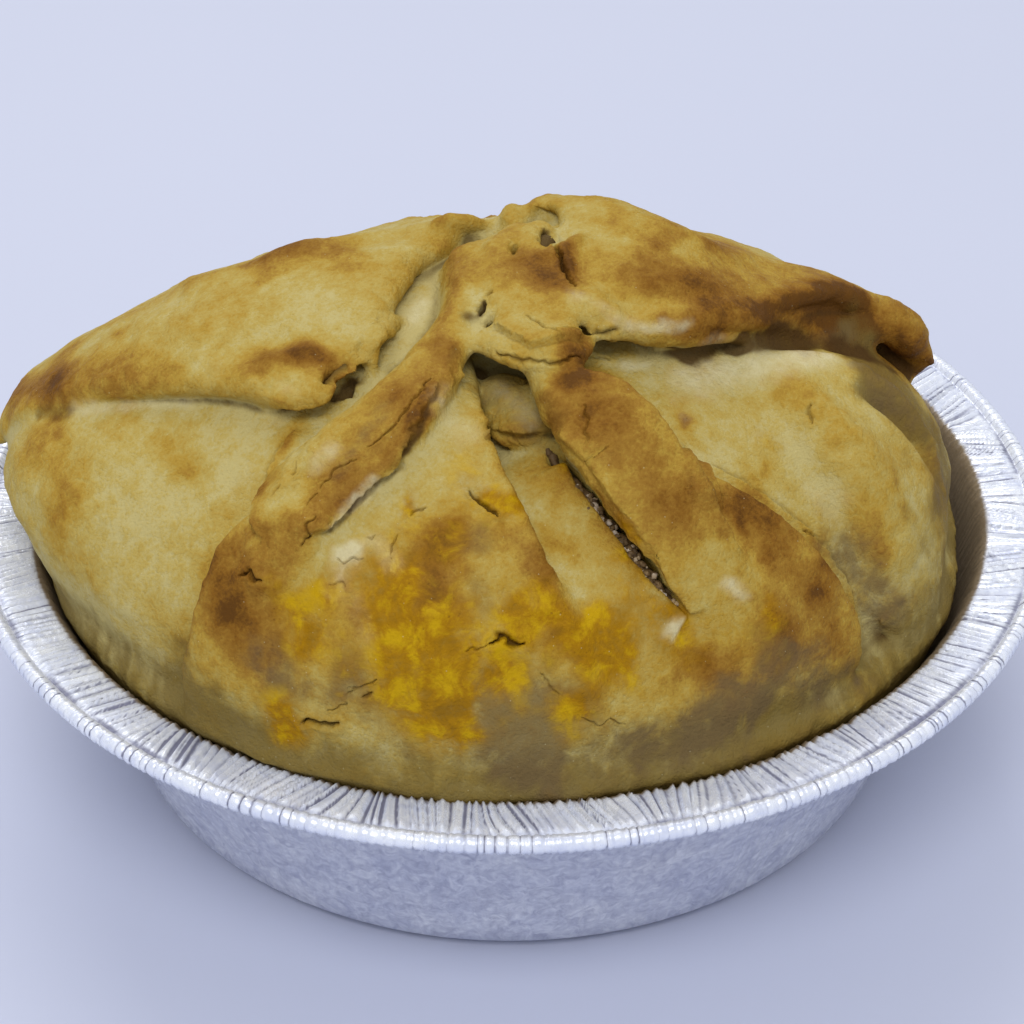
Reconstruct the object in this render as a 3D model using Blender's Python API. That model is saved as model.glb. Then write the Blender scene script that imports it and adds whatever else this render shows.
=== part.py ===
"""A small baked pie in its own crimped foil tin: a round of dough gathered on top into folds."""
import math

import bmesh
import bpy
import numpy as np

# Driving sizes, in metres. The origin is at the middle of the tin's underside and the front faces -Y.
MM = 0.001
CLEARANCE = 0.3 * MM

# The foil tin

TIN_DEPTH = 30 * MM
TIN_OUTER_RADIUS = 63.5 * MM
TIN_MOUTH_RADIUS = 55.8 * MM
TIN_FOOT_RADIUS = 46.0 * MM
TIN_SHEET = 0.5 * MM
FLANGE_OUTER_RADIUS = 61.6 * MM
BEAD_RADIUS = 0.95 * MM
CRIMPS = 80
CRIMP_DEPTH = 0.22 * MM
FLUTE_DEPTH = 0.12 * MM
TIN_CORNER = 2.6 * MM
WALL_TOP_DROP = 1.4 * MM

# The dome of dough above the tin's rim
DOME_HEIGHT = 33 * MM
DOME_RADIUS = 54.6 * MM
DOME_FULLNESS = 2.2
BACK_FULLNESS = 1.12
LEFT_SWELL = 3.4 * MM
FRONT_SWELL = -1.65 * MM
SIDE_SWELL = 0.25 * MM
LEDGE_RADIUS = 54.9 * MM
LEDGE_STEP = 1.2 * MM
SHOULDER_END = 0.965
BURIED = -3.0 * MM

# How finely the shapes are divided
DOME_COLUMNS = 90
DOME_RINGS = 15
FOLD_STEPS = 13
FOLD_TOP_POINTS = 9
FOLD_UNDER_POINTS = 6
SLIT_STEPS = 16
KNOB_SIDES = 12
KNOB_RINGS = 7
END_STEEPNESS = 6.0


def mm(*values):
    return tuple(value * MM for value in values)


def clear_scene():
    for obj in list(bpy.data.objects):
        bpy.data.objects.remove(obj, do_unlink=True)


def make_material(name, colour, roughness, metallic=0.0):
    material = bpy.data.materials.new(name)
    material.use_nodes = True
    shader = material.node_tree.nodes["Principled BSDF"]
    shader.inputs["Base Color"].default_value = (*colour, 1.0)
    shader.inputs["Roughness"].default_value = roughness
    shader.inputs["Metallic"].default_value = metallic
    return material


def make_object(name, points, faces, material=None):
    mesh = bpy.data.meshes.new(name)
    mesh.from_pydata([tuple(map(float, p)) for p in points], [], faces)
    work = bmesh.new()
    work.from_mesh(mesh)
    bmesh.ops.recalc_face_normals(work, faces=work.faces)
    bmesh.ops.triangulate(work, faces=work.faces)
    work.to_mesh(mesh)
    work.free()
    mesh.shade_smooth()
    obj = bpy.data.objects.new(name, mesh)
    bpy.context.scene.collection.objects.link(obj)
    if material:
        mesh.materials.append(material)
    return obj


def loft(name, rings, top=None, base=None, material=None):
    """A closed solid through rings of points of equal count; each end is a flat cap, or a fan to a point."""
    count = len(rings[0])
    points = np.concatenate(rings)
    faces = []
    for first in range(0, (len(rings) - 1) * count, count):
        for k in range(count):
            after = (k + 1) % count
            faces.append((first + k, first + after, first + count + after, first + count + k))
    for end, start in ((top, 0), (base, (len(rings) - 1) * count)):
        if end is None:
            faces.append(tuple(start + k for k in range(count)))
        else:
            points = np.concatenate([points, [end]])
            faces += [(start + k, start + (k + 1) % count, len(points) - 1) for k in range(count)]
    return make_object(name, points, faces, material)


def smooth(value):
    value = np.clip(value, 0.0, 1.0)
    return value * value * (3.0 - 2.0 * value)


def rounded(value):
    """Rises from 0 to 1 along a quarter circle."""
    value = np.clip(value, 0.0, 1.0)
    return np.sqrt(1.0 - (1.0 - value) ** 2)


def bump(value, middle, half):
    return np.exp(-(((value - middle) / half) ** 2))


def near(azimuth, middle, half):
    """A bump around the middle azimuth, the short way round."""
    return bump((azimuth - middle + 180) % 360, 180, half)


def along(knots, t):
    """The value at t from 0 to 1 on a smooth curve through evenly spaced knots."""
    knots = np.asarray(knots, float)
    place = min(max(t, 0.0), 1.0) * (len(knots) - 1)
    index = int(min(place, len(knots) - 2))
    f = place - index
    p1, p2 = knots[index], knots[index + 1]
    p0 = knots[index - 1] if index > 0 else 2 * p1 - p2
    p3 = knots[index + 2] if index + 2 < len(knots) else 2 * p2 - p1
    slope1, slope2 = (p2 - p0) / 2, (p3 - p1) / 2
    return (
        (2 * f**3 - 3 * f**2 + 1) * p1
        + (f**3 - 2 * f**2 + f) * slope1
        + (3 * f**2 - 2 * f**3) * p2
        + (f**3 - f**2) * slope2
    )


def wall_radius(azimuth):
    """The widest radius of the dome in each direction: it bulges most on the left."""
    angle = np.radians(azimuth)
    lean = -LEFT_SWELL * np.cos(angle) - FRONT_SWELL * np.sin(angle)
    return DOME_RADIUS + lean + SIDE_SWELL * np.cos(2 * angle)


def fullness(azimuth):
    """How square the dome's shoulder is: full at the front and sides, almost a cone at the back."""
    backward = np.sin(np.radians(azimuth))
    return DOME_FULLNESS + (BACK_FULLNESS - DOME_FULLNESS) * smooth((backward + 0.30) / 0.75)


def on_dome(azimuth, way, height):
    """Points at a height over the plain dome; way runs from 0 at the hub to 1 at the tin's rim."""
    azimuth, way, height = np.broadcast_arrays(azimuth, way, height)
    angle = np.radians(azimuth)
    fall = np.clip(way, 0.0, 1.0) * math.pi / 2
    wall, full = wall_radius(azimuth), fullness(azimuth)
    radius = np.sin(fall) ** (2 / full)
    level = np.abs(np.cos(fall)) ** (2 / full)
    out = radius ** (full - 1) / wall
    up = level ** (full - 1) / DOME_HEIGHT
    steep = np.hypot(out, up)
    tuck = (wall - LEDGE_RADIUS + 1.0 * MM) * smooth((way - 0.80) / 0.2)
    reach = radius * wall + height * out / steep - np.maximum(tuck, 0.0)
    rise = level * DOME_HEIGHT + height * up / steep
    return np.stack([reach * np.cos(angle), reach * np.sin(angle), TIN_DEPTH + rise], -1)


class Fold:
    """A folded-over band of dough that runs outward from the hub.

    Its low and high edges are lists of (azimuth, way); rise is the height of its top over the dome.
    A lip edge hangs free over what lies beside it, and any other edge sinks into the dome over its flank.
    """

    def __init__(self, name, low, high, rise, thick, lips="both", flank=5.0 * MM, undercut=3.0 * MM,
                 open_end=False, crown=0.0):
        self.name = name
        self.low = low
        self.high = high
        self.rise = rise
        self.half = thick / 2
        self.low_lip = lips in ("both", "low")
        self.high_lip = lips in ("both", "high")
        self.flank = flank
        self.undercut = undercut
        self.open_end = open_end
        self.crown = crown

    def turn(self, inset, lip):
        """How far the top has risen at an inset from an edge."""
        return rounded(inset / self.half) if lip else smooth(inset / self.flank)

    def hang(self, inset, lip):
        """How free the underside hangs at an inset from an edge."""
        return 1 - smooth((inset - self.undercut) / self.half) if lip else 0.0 * inset

    def heights(self, across, on_top, width, rise, share):
        from_low, from_high = across * width, (1 - across) * width
        low_line = rise - self.half if self.low_lip else BURIED
        high_line = rise - self.half if self.high_lip else BURIED
        line = low_line + (high_line - low_line) * smooth(across)
        turn = self.turn(from_low, self.low_lip) * self.turn(from_high, self.high_lip) * share
        top = line + (rise + self.crown * 4 * across * (1 - across) - line) * turn
        hang = np.maximum(self.hang(from_low, self.low_lip), self.hang(from_high, self.high_lip))
        lip_under = line - self.half * turn
        under = hang * lip_under + (1 - hang) * (BURIED - self.half)
        return np.where(on_top, top, np.minimum(under, lip_under))

    def ring(self, t, top_points, under_points):
        """One closed section across the fold, at t from 0 at its hub end to 1 at its outer end."""
        low, high = along(self.low, t), along(self.high, t)
        over = (1 - np.cos(np.pi * np.arange(top_points + 1) / top_points)) / 2
        under = (1 + np.cos(np.pi * np.arange(1, under_points) / under_points)) / 2
        across = np.concatenate([over, under])
        on_top = np.arange(len(across)) <= top_points
        azimuth = low[0] + (high[0] - low[0]) * across
        way = low[1] + (high[1] - low[1]) * across
        edges = on_dome(np.array([low[0], high[0]]), np.array([low[1], high[1]]), 0.0)
        width = float(np.linalg.norm(edges[1] - edges[0]))
        share = float(rounded(0.1 + (1 - t) * END_STEEPNESS)) if self.open_end else 1.0
        height = self.heights(across, on_top, width, float(along(self.rise, t)), share)
        return on_dome(azimuth, way, height)

    def solid(self, steps=FOLD_STEPS, top_points=FOLD_TOP_POINTS, under_points=FOLD_UNDER_POINTS):
        rings = [self.ring(k / steps, top_points, under_points) for k in range(steps + 1)]
        return loft(self.name, rings)


FOLDS = [
    Fold(
        "back_right",
        low=[(-50, 0.05), (-68, 0.17), (-57, 0.30), (-28, 0.35), (-6, 0.49), (-4, 0.71)],
        high=[(60, 0.05), (62, 0.17), (60, 0.30), (56, 0.42), (48, 0.56), (34, 0.74)],
        rise=mm(4.4, 6.0, 4.2, 4.0, 6.2, 7.4),
        thick=3.4 * MM, open_end=True, crown=1.0 * MM,
    ),
    Fold(
        "back_left",
        low=[(118, 0.05), (118, 0.20), (118, 0.34), (120, 0.46), (128, 0.60), (150, 0.84)],
        high=[(205, 0.06), (233, 0.22), (237, 0.40), (219, 0.44), (200, 0.58), (185, 0.85)],
        rise=mm(2.4, 3.0, 3.6, 3.2, 3.4, 5.4),
        thick=2.6 * MM, open_end=True, crown=0.8 * MM,
    ),
    Fold(
        "back_pleat_right",
        low=[(66, 0.05), (67, 0.25), (68, 0.45), (70, 0.68), (73, 0.92)],
        high=[(92, 0.05), (84, 0.25), (82, 0.45), (81, 0.68), (80, 0.92)],
        rise=mm(3.4, 3.0, 2.6, 2.4, 1.4),
        thick=3.0 * MM, lips="low", flank=4.0 * MM,
    ),
    Fold(
        "back_pleat_left",
        low=[(94, 0.05), (92, 0.25), (93, 0.45), (94, 0.68), (96, 0.94)],
        high=[(126, 0.05), (116, 0.25), (112, 0.45), (112, 0.68), (112, 0.94)],
        rise=mm(3.2, 2.8, 2.4, 2.2, 1.4),
        thick=2.6 * MM, lips="low", flank=6.0 * MM,
    ),
    Fold(
        "front_left",
        low=[(258, 0.22), (243, 0.40), (236, 0.52), (233, 0.66), (232, 0.82), (231, 0.99)],
        high=[(260, 0.24), (266, 0.37), (270.5, 0.47), (275.5, 0.60), (280, 0.78), (283, 0.99)],
        rise=mm(0.5, 2.5, 3.0, 3.6, 3.6, 2.4),
        thick=2.2 * MM,
    ),
    Fold(
        "front_right",
        low=[(283, 0.40), (287, 0.52), (289, 0.62), (290, 0.75), (288, 0.90), (287, 0.99)],
        high=[(294, 0.42), (301, 0.52), (308, 0.63), (313, 0.78), (314.5, 0.90), (313, 0.99)],
        rise=mm(2.0, 2.6, 3.0, 3.2, 3.0, 2.2),
        thick=2.0 * MM, lips="high",
    ),
    Fold(
        "front_rope",
        low=[(180, 0.04), (234, 0.16), (239, 0.28), (235, 0.40), (232, 0.50), (233, 0.62), (232, 0.80)],
        high=[(275, 0.03), (261, 0.16), (261, 0.29), (257, 0.41), (250, 0.52), (244, 0.63), (240, 0.78)],
        rise=mm(4.0, 5.6, 5.2, 5.2, 5.0, 4.8, 3.8),
        thick=3.0 * MM, lips="high", flank=5.0 * MM,
    ),
    Fold(
        "front_roll",
        low=[(272, 0.24), (275, 0.36), (281, 0.50), (286, 0.61), (290, 0.71), (293, 0.80)],
        high=[(290, 0.26), (293, 0.38), (297, 0.50), (301, 0.60), (305, 0.70), (306, 0.80)],
        rise=mm(5.0, 5.2, 5.0, 4.4, 3.8, 2.6),
        thick=3.6 * MM, lips="low", flank=4.0 * MM,
    ),
    Fold(
        "right_panel",
        low=[(316, 0.36), (315, 0.48), (314, 0.60), (314, 0.75), (315, 0.92)],
        high=[(335, 0.38), (342, 0.50), (343, 0.62), (342, 0.78), (337, 0.96)],
        rise=mm(1.0, 2.6, 4.0, 4.0, 2.2),
        thick=2.0 * MM, lips="high", flank=8.0 * MM,
    ),
    Fold(
        "tongue",
        low=[(262, 0.04), (254, 0.09), (260, 0.17), (266, 0.24), (273, 0.28)],
        high=[(330, 0.03), (303, 0.09), (294, 0.17), (289, 0.24), (286, 0.285)],
        rise=mm(5.2, 6.0, 6.2, 6.4, 6.2),
        thick=2.2 * MM, open_end=True,
    ),
]

# The pinched middle: (across, back, level over the rim) of each knob, and its half sizes.
HUB_KNOBS = [
    (mm(0.0, 1.5, 31.5), mm(6.0, 5.0, 4.0)),
    (mm(0.8, 3.0, 32.4), mm(1.9, 1.6, 4.0)),
    (mm(-4.2, 3.0, 31.0), mm(3.4, 1.7, 2.8)),
    (mm(4.5, 5.5, 32.0), mm(2.2, 1.8, 3.0)),
]

# The swelling of the dough between two azimuths at the front, from a way down the dome
BELLY_HEIGHT = 2.7 * MM
BELLY_LEFT = 238
BELLY_RIGHT = 309
BELLY_FADE = 11
BELLY_TOP = 0.5
BELLY_DROP = 0.25

# Local swellings of the lower layer: height, azimuth and its half width, way and its half width
SWELLINGS = [
    (3.8 * MM, 197, 17, 0.78, 0.18),
    (2.8 * MM, 348, 20, 0.72, 0.24),
    (1.2 * MM, 30, 14, 0.85, 0.20),
    (1.2 * MM, 150, 16, 0.85, 0.20),
    (-4.5 * MM, 268, 9, 0.33, 0.12),
]

# The narrow slit at the front, which shows the filling
SLIT_LINE = [(277, 0.39), (280.5, 0.47), (284.5, 0.56), (287.5, 0.65), (290.5, 0.72)]
SLIT_DEPTH = 5.0 * MM
SLIT_LENGTH = 40 * MM
SLIT_HALF_WIDTH = 1.3 * MM
SLIT_END_WIDTH = 0.35
SLIT_CROWN = 0.2 * MM
SLIT_OVERSHOOT = 1.0 * MM
FILLING_DROP = 0.9 * MM


def dome_relief(azimuth, way):
    """Height of the dough's lower layer over the plain dome: swellings, a pocket and a wide belly."""
    azimuth = np.mod(azimuth, 360)
    from_left = smooth((azimuth - BELLY_LEFT) / BELLY_FADE)
    from_right = smooth((BELLY_RIGHT - azimuth) / BELLY_FADE)
    relief = BELLY_HEIGHT * from_left * from_right * smooth((way - BELLY_TOP) / BELLY_DROP)
    for height, middle, half, level, spread in SWELLINGS:
        relief = relief + height * near(azimuth, middle, half) * bump(way, level, spread)
    return relief


def crust_body(columns=DOME_COLUMNS, ring_count=DOME_RINGS):
    """The round body of dough, from the hub over the shoulder and down to the tin's floor."""
    azimuths = 360 * np.arange(columns) / columns
    rings = []
    for k in range(1, ring_count + 1):
        way = SHOULDER_END * k / ring_count
        rings.append(on_dome(azimuths, way, dome_relief(azimuths, way)))
    angle = np.radians(azimuths)
    foot = wall_radius(azimuths) + dome_relief(azimuths, 1.0)
    for radius, level in (
        (np.clip(foot, LEDGE_RADIUS - LEDGE_STEP, LEDGE_RADIUS), TIN_DEPTH + 1.7 * MM),
        (LEDGE_RADIUS, TIN_DEPTH + 0.6 * MM),
        (LEDGE_RADIUS, TIN_DEPTH - 0.7 * MM),
        (tin_inner_radius(0.5 * TIN_DEPTH) - CLEARANCE, 0.5 * TIN_DEPTH),
        (tin_inner_radius(0.1 * TIN_DEPTH) - CLEARANCE, 0.1 * TIN_DEPTH),
        (TIN_FOOT_RADIUS - 3.0 * MM, TIN_SHEET + CLEARANCE),
    ):
        rings.append(np.stack([radius * np.cos(angle), radius * np.sin(angle), level + 0 * angle], -1))
    return loft("crust", rings, top=on_dome(0.0, 0.0, 0.0))


def tin_inner_radius(level):
    return TIN_FOOT_RADIUS + (TIN_MOUTH_RADIUS - TIN_FOOT_RADIUS) * level / TIN_DEPTH


def knob(name, middle, half_sizes):
    """A small rounded lump of pinched dough."""
    turn = 2 * np.pi * np.arange(KNOB_SIDES) / KNOB_SIDES
    centre = np.array(middle) + (0.0, 0.0, TIN_DEPTH)
    rings = []
    for k in range(1, KNOB_RINGS):
        fall = math.pi * k / KNOB_RINGS
        flat = math.sin(fall)
        unit = np.stack([flat * np.cos(turn), flat * np.sin(turn), math.cos(fall) + 0 * turn], -1)
        rings.append(centre + unit * half_sizes)
    pole = (0.0, 0.0, half_sizes[2])
    return loft(name, rings, top=centre + pole, base=centre - pole)


def slit_ring(t, half_width, low, drop):
    """A section of the slit: from low up to the lower layer's surface less a drop."""
    azimuth, way = along(SLIT_LINE, t)
    surface = float(dome_relief(azimuth, way)) - drop
    spread = np.degrees(half_width / float(np.linalg.norm(on_dome(azimuth, way, 0.0)[:2])))
    top, bottom = surface + SLIT_CROWN, low - SLIT_CROWN
    corners = [(-1, low), (-1, surface), (0, top), (1, surface), (1, low), (0, bottom)]
    return np.array([on_dome(azimuth + side * spread, way, height) for side, height in corners])


def slit_solid(name, inset, drop):
    """The pocket under the slit with no inset, or what fills it."""
    rings = []
    for k in range(SLIT_STEPS + 1):
        t = inset / SLIT_LENGTH + (1 - 2 * inset / SLIT_LENGTH) * k / SLIT_STEPS
        share = SLIT_END_WIDTH + (1 - SLIT_END_WIDTH) * math.sin(math.pi * t)
        rings.append(slit_ring(t, SLIT_HALF_WIDTH * share - inset, -SLIT_DEPTH * share + inset, drop))
    return loft(name, rings)


def apply_modifiers(obj):
    graph = bpy.context.evaluated_depsgraph_get()
    mesh = bpy.data.meshes.new_from_object(obj.evaluated_get(graph))
    obj.modifiers.clear()
    obj.data = mesh


def join_all(body, pieces):
    """One Boolean union of a body with a collection of pieces, which are then removed."""
    group = bpy.data.collections.new("dough_folds")
    bpy.context.scene.collection.children.link(group)
    for piece in pieces:
        bpy.context.scene.collection.objects.unlink(piece)
        group.objects.link(piece)
    union = body.modifiers.new("union", "BOOLEAN")
    union.operation = "UNION"
    union.operand_type = "COLLECTION"
    union.collection = group
    union.solver = "MANIFOLD"
    apply_modifiers(body)
    for piece in list(group.objects):
        bpy.data.objects.remove(piece, do_unlink=True)
    bpy.data.collections.remove(group)


def cut_away(body, cutter):
    cut = body.modifiers.new("cut", "BOOLEAN")
    cut.operation = "DIFFERENCE"
    cut.object = cutter
    cut.solver = "MANIFOLD"
    apply_modifiers(body)
    bpy.data.objects.remove(cutter, do_unlink=True)


def build_crust():
    body = crust_body()
    pieces = [fold.solid() for fold in FOLDS]
    pieces += [knob(f"knob_{k}", *sizes) for k, sizes in enumerate(HUB_KNOBS)]
    join_all(body, pieces)
    cut_away(body, slit_solid("slit", 0.0, -SLIT_OVERSHOOT))
    body.data.materials.clear()
    body.data.materials.append(make_material("baked dough", (0.62, 0.38, 0.12), 0.6))
    return body


def build_filling():
    filling = slit_solid("filling", CLEARANCE, FILLING_DROP)
    filling.data.materials.append(make_material("dark shrimp filling", (0.06, 0.035, 0.03), 0.7))
    return filling


def tin_profile():
    """Radius, level, and shares of crimp and flute: up the inside, over the bead and down the outside."""
    rim, sheet = TIN_DEPTH, TIN_SHEET
    flange_edge = FLANGE_OUTER_RADIUS - 0.3 * MM
    bead_middle = TIN_OUTER_RADIUS - BEAD_RADIUS
    wall_top = rim - WALL_TOP_DROP
    return [
        (TIN_FOOT_RADIUS - TIN_CORNER, sheet, 0.0, 0.0),
        (tin_inner_radius(TIN_CORNER), TIN_CORNER, 0.0, 0.3),
        (tin_inner_radius(wall_top), wall_top, 0.0, 1.0),
        (TIN_MOUTH_RADIUS + 0.7 * MM, rim, 1.0, 0.0),
        (flange_edge, rim + 0.35 * MM, 1.0, 0.0),
        (FLANGE_OUTER_RADIUS, rim + 0.15 * MM, 0.3, 0.0),
        (bead_middle, rim + BEAD_RADIUS, 0.2, 0.0),
        (TIN_OUTER_RADIUS, rim, 0.0, 0.0),
        (bead_middle, rim - BEAD_RADIUS, 0.0, 0.0),
        (flange_edge, rim - sheet, 1.0, 0.0),
        (TIN_MOUTH_RADIUS + 0.9 * MM, rim - sheet - 0.2 * MM, 1.0, 0.0),
        (tin_inner_radius(wall_top) + sheet, wall_top - 0.3 * MM, 0.0, 1.0),
        (tin_inner_radius(TIN_CORNER) + sheet, TIN_CORNER - 0.6 * MM, 0.0, 0.3),
        (TIN_FOOT_RADIUS - TIN_CORNER, 0.0, 0.0, 0.0),
    ]


def build_tin():
    """The pressed foil tin, with its flange crimped into radial folds and its edge rolled into a bead."""
    columns = 2 * CRIMPS
    angle = 2 * np.pi * np.arange(columns) / columns
    fold = np.where(np.arange(columns) % 2 == 0, 1.0, -1.0)
    rings = []
    for radius, level, crimp, flute in tin_profile():
        reach = radius + fold * FLUTE_DEPTH * flute
        height = level + fold * CRIMP_DEPTH * crimp
        rings.append(np.stack([reach * np.cos(angle), reach * np.sin(angle), height], -1))
    foil = make_material("tin foil", (0.80, 0.81, 0.83), 0.3, 1.0)
    return loft("foil_tin", rings, top=(0.0, 0.0, TIN_SHEET), material=foil)


def main():
    clear_scene()
    build_tin()
    build_crust()
    build_filling()


main()
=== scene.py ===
import itertools
import math

import bmesh
import bpy
import numpy as np
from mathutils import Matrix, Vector
from mathutils.bvhtree import BVHTree


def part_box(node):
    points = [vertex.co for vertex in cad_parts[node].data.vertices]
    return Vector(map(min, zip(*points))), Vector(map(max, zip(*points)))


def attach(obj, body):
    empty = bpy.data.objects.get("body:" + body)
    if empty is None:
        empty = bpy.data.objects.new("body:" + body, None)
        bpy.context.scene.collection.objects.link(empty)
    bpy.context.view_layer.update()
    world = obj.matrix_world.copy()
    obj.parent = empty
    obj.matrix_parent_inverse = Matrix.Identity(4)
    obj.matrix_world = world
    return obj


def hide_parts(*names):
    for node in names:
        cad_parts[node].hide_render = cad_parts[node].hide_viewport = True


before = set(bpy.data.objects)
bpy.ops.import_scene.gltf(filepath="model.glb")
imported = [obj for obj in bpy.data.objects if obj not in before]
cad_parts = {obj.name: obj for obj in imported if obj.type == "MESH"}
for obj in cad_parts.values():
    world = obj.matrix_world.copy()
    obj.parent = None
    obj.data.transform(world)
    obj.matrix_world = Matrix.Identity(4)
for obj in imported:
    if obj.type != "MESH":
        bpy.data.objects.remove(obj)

MM = 0.001

# The tin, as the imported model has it
TIN_LOW, TIN_HIGH = [np.array(corner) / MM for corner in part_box("foil_tin")]
TIN_OUTER_RADIUS = (TIN_HIGH[0] - TIN_LOW[0]) / 2
BEAD_RADIUS = 0.95
BEAD_MIDDLE = TIN_OUTER_RADIUS - BEAD_RADIUS
RIM = TIN_HIGH[2] - BEAD_RADIUS
SHEET = 0.5
MOUTH_RADIUS = 55.8
FOOT_RADIUS = 46.0
FLANGE_RADIUS = 61.2
FOOT_CORNER = 2.6

# The crust
CRUST_BASE = 0.8
CUT_LEVEL = RIM - 3.0
KEPT_BELOW_CUT = 1.5
WELD_GAP = 0.002
WALL_CLEARANCE = 0.3
FLOOR_INSET = 3.0
HEART = np.array([0.0, 0.0, RIM])
OUTSIDE_ALL = 150
STREAK_RADIUS = 55

# The crust's mesh: its voxels, its rounds of evening, and where and how often it is made finer
VOXEL = 0.40
FIRST_ROUNDS = 12
FINE_ROUNDS = 22
BROAD_ROUNDS = 130
REFINED_REACH = 1.5
REFINED_LEVELS = 2
BAND_STEPS = 14
BAND_SIDES = 12


# Numbers and noise


def smooth(value):
    value = np.clip(value, 0.0, 1.0)
    return value * value * (3.0 - 2.0 * value)


def bump(value, middle, half):
    return np.exp(-(((value - middle) / half) ** 2))


def along(knots, t):
    """The value at t from 0 to 1 on a smooth curve through evenly spaced knots."""
    knots = np.asarray(knots, float)
    place = min(max(t, 0.0), 1.0) * (len(knots) - 1)
    index = int(min(place, len(knots) - 2))
    f = place - index
    p1, p2 = knots[index], knots[index + 1]
    p0 = knots[index - 1] if index > 0 else 2 * p1 - p2
    p3 = knots[index + 2] if index + 2 < len(knots) else 2 * p2 - p1
    slope1, slope2 = (p2 - p0) / 2, (p3 - p1) / 2
    return (
        (2 * f**3 - 3 * f**2 + 1) * p1
        + (f**3 - 2 * f**2 + f) * slope1
        + (3 * f**2 - 2 * f**3) * p2
        + (f**3 - f**2) * slope2
    )


def lumps(points, size, seed):
    """Smooth noise from -1 to 1 with lumps of about the given size."""
    turned = points @ np.array([[0.36, 0.48, -0.8], [-0.8, 0.6, 0.0], [0.48, 0.64, 0.6]])
    place = turned / size + 31.7 * seed
    cell = np.floor(place).astype(np.int64)
    share = smooth(place - cell)
    total = np.zeros(len(points))
    for corner in itertools.product((0, 1), repeat=3):
        x, y, z = (cell + corner).T
        code = (x * 73856093) ^ (y * 19349663) ^ (z * 83492791)
        code = ((code ^ (code >> 13)) * 1274126177) & 0x7FFFFFFF
        weight = np.prod(np.where(corner, share, 1 - share), axis=1)
        total += weight * (code % 65521) / 65521
    return 2 * total - 1


def rough(points, size, seed, layers=3):
    """Lumps with finer lumps on them."""
    return sum(lumps(points, size / 2**k, seed + k) / 2**k for k in range(layers))


# Meshes


def new_object(name, mesh):
    mesh.shade_smooth()
    obj = bpy.data.objects.new(name, mesh)
    bpy.context.scene.collection.objects.link(obj)
    return obj


def new_piece(name, mesh, material):
    """An object that shows this material alone, whatever its mesh brought along."""
    mesh.materials.clear()
    mesh.materials.append(material)
    return new_object(name, mesh)


def mesh_of(points, faces, name="shape"):
    mesh = bpy.data.meshes.new(name)
    mesh.from_pydata((np.asarray(points) * MM).tolist(), [], faces)
    return mesh


def read(items, key, width, kind=np.float32):
    """What each of the items says under the key, in rows of the given width."""
    values = np.empty(len(items) * width, kind)
    items.foreach_get(key, values)
    return values.reshape(-1, width)


def read_points(mesh):
    return read(mesh.vertices, "co", 3).astype(float) / MM


def write_points(mesh, points):
    mesh.vertices.foreach_set("co", (points * MM).astype(np.float32).ravel())
    mesh.update()


def read_normals(mesh):
    return read(mesh.vertices, "normal", 3).astype(float)


def read_edges(mesh):
    return read(mesh.edges, "vertices", 2, np.int32)


def write_marks(mesh, name, values):
    mark = mesh.attributes.get(name) or mesh.attributes.new(name, "FLOAT", "POINT")
    mark.data.foreach_set("value", values.astype(np.float32))


def read_marks(mesh, name):
    return read(mesh.attributes[name].data, "value", 1)[:, 0].astype(float)


def relax(values, edges, rounds, share=0.6):
    """Each value moves towards the mean of its neighbours, a number of times."""
    a, b = edges.T
    count = len(values)
    degree = np.maximum(np.bincount(a, minlength=count) + np.bincount(b, minlength=count), 1)
    columns = [column.copy() for column in np.atleast_2d(values.T)]
    for _ in range(rounds):
        for k, column in enumerate(columns):
            total = np.bincount(a, column[b], count) + np.bincount(b, column[a], count)
            columns[k] = column + share * (total / degree - column)
    return np.array(columns).T.reshape(values.shape)


def remeshed(mesh, voxel):
    """The mesh with its overlapping closed pieces fused, in even small faces."""
    obj = new_object("fuse", mesh)
    fuse = obj.modifiers.new("fuse", "REMESH")
    fuse.mode = "VOXEL"
    fuse.voxel_size = voxel * MM
    graph = bpy.context.evaluated_depsgraph_get()
    made = bpy.data.meshes.new_from_object(obj.evaluated_get(graph))
    bpy.data.objects.remove(obj, do_unlink=True)
    return made


def loft(rings):
    """Points and faces of a solid through rings of points, with a fan at each end."""
    count = len(rings[0])
    points = np.concatenate([*rings, [np.mean(rings[0], axis=0)], [np.mean(rings[-1], axis=0)]])
    faces = []
    for first in range(0, (len(rings) - 1) * count, count):
        for k in range(count):
            after = (k + 1) % count
            faces.append((first + k, first + after, first + count + after, first + count + k))
    last = (len(rings) - 1) * count
    for k in range(count):
        after = (k + 1) % count
        faces.append((len(points) - 2, after, k))
        faces.append((last + k, last + after, len(points) - 1))
    return points, faces


# Shader maths


class Value:
    """A node's output that takes part in plain arithmetic; each operator adds its Math node."""

    def __init__(self, finish, socket):
        self.finish = finish
        self.socket = socket

    def math(self, operation, *values, clamp=False):
        settings = {"operation": operation, "use_clamp": clamp}
        return self.finish.node("ShaderNodeMath", settings, dict(enumerate(values)))

    def __add__(self, other):
        return self.math("ADD", self, other)

    def __radd__(self, other):
        return self.math("ADD", other, self)

    def __sub__(self, other):
        return self.math("SUBTRACT", self, other)

    def __rsub__(self, other):
        return self.math("SUBTRACT", other, self)

    def __mul__(self, other):
        return self.math("MULTIPLY", self, other)

    def __rmul__(self, other):
        return self.math("MULTIPLY", other, self)

    def clamped(self):
        return self.math("ADD", self, 0.0, clamp=True)

    def step(self, low, high):
        """Rises smoothly from 0 at low to 1 at high."""
        settings = {"interpolation_type": "SMOOTHSTEP", "clamp": True}
        return self.finish.node("ShaderNodeMapRange", settings, {0: self, 1: low, 2: high})


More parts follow.
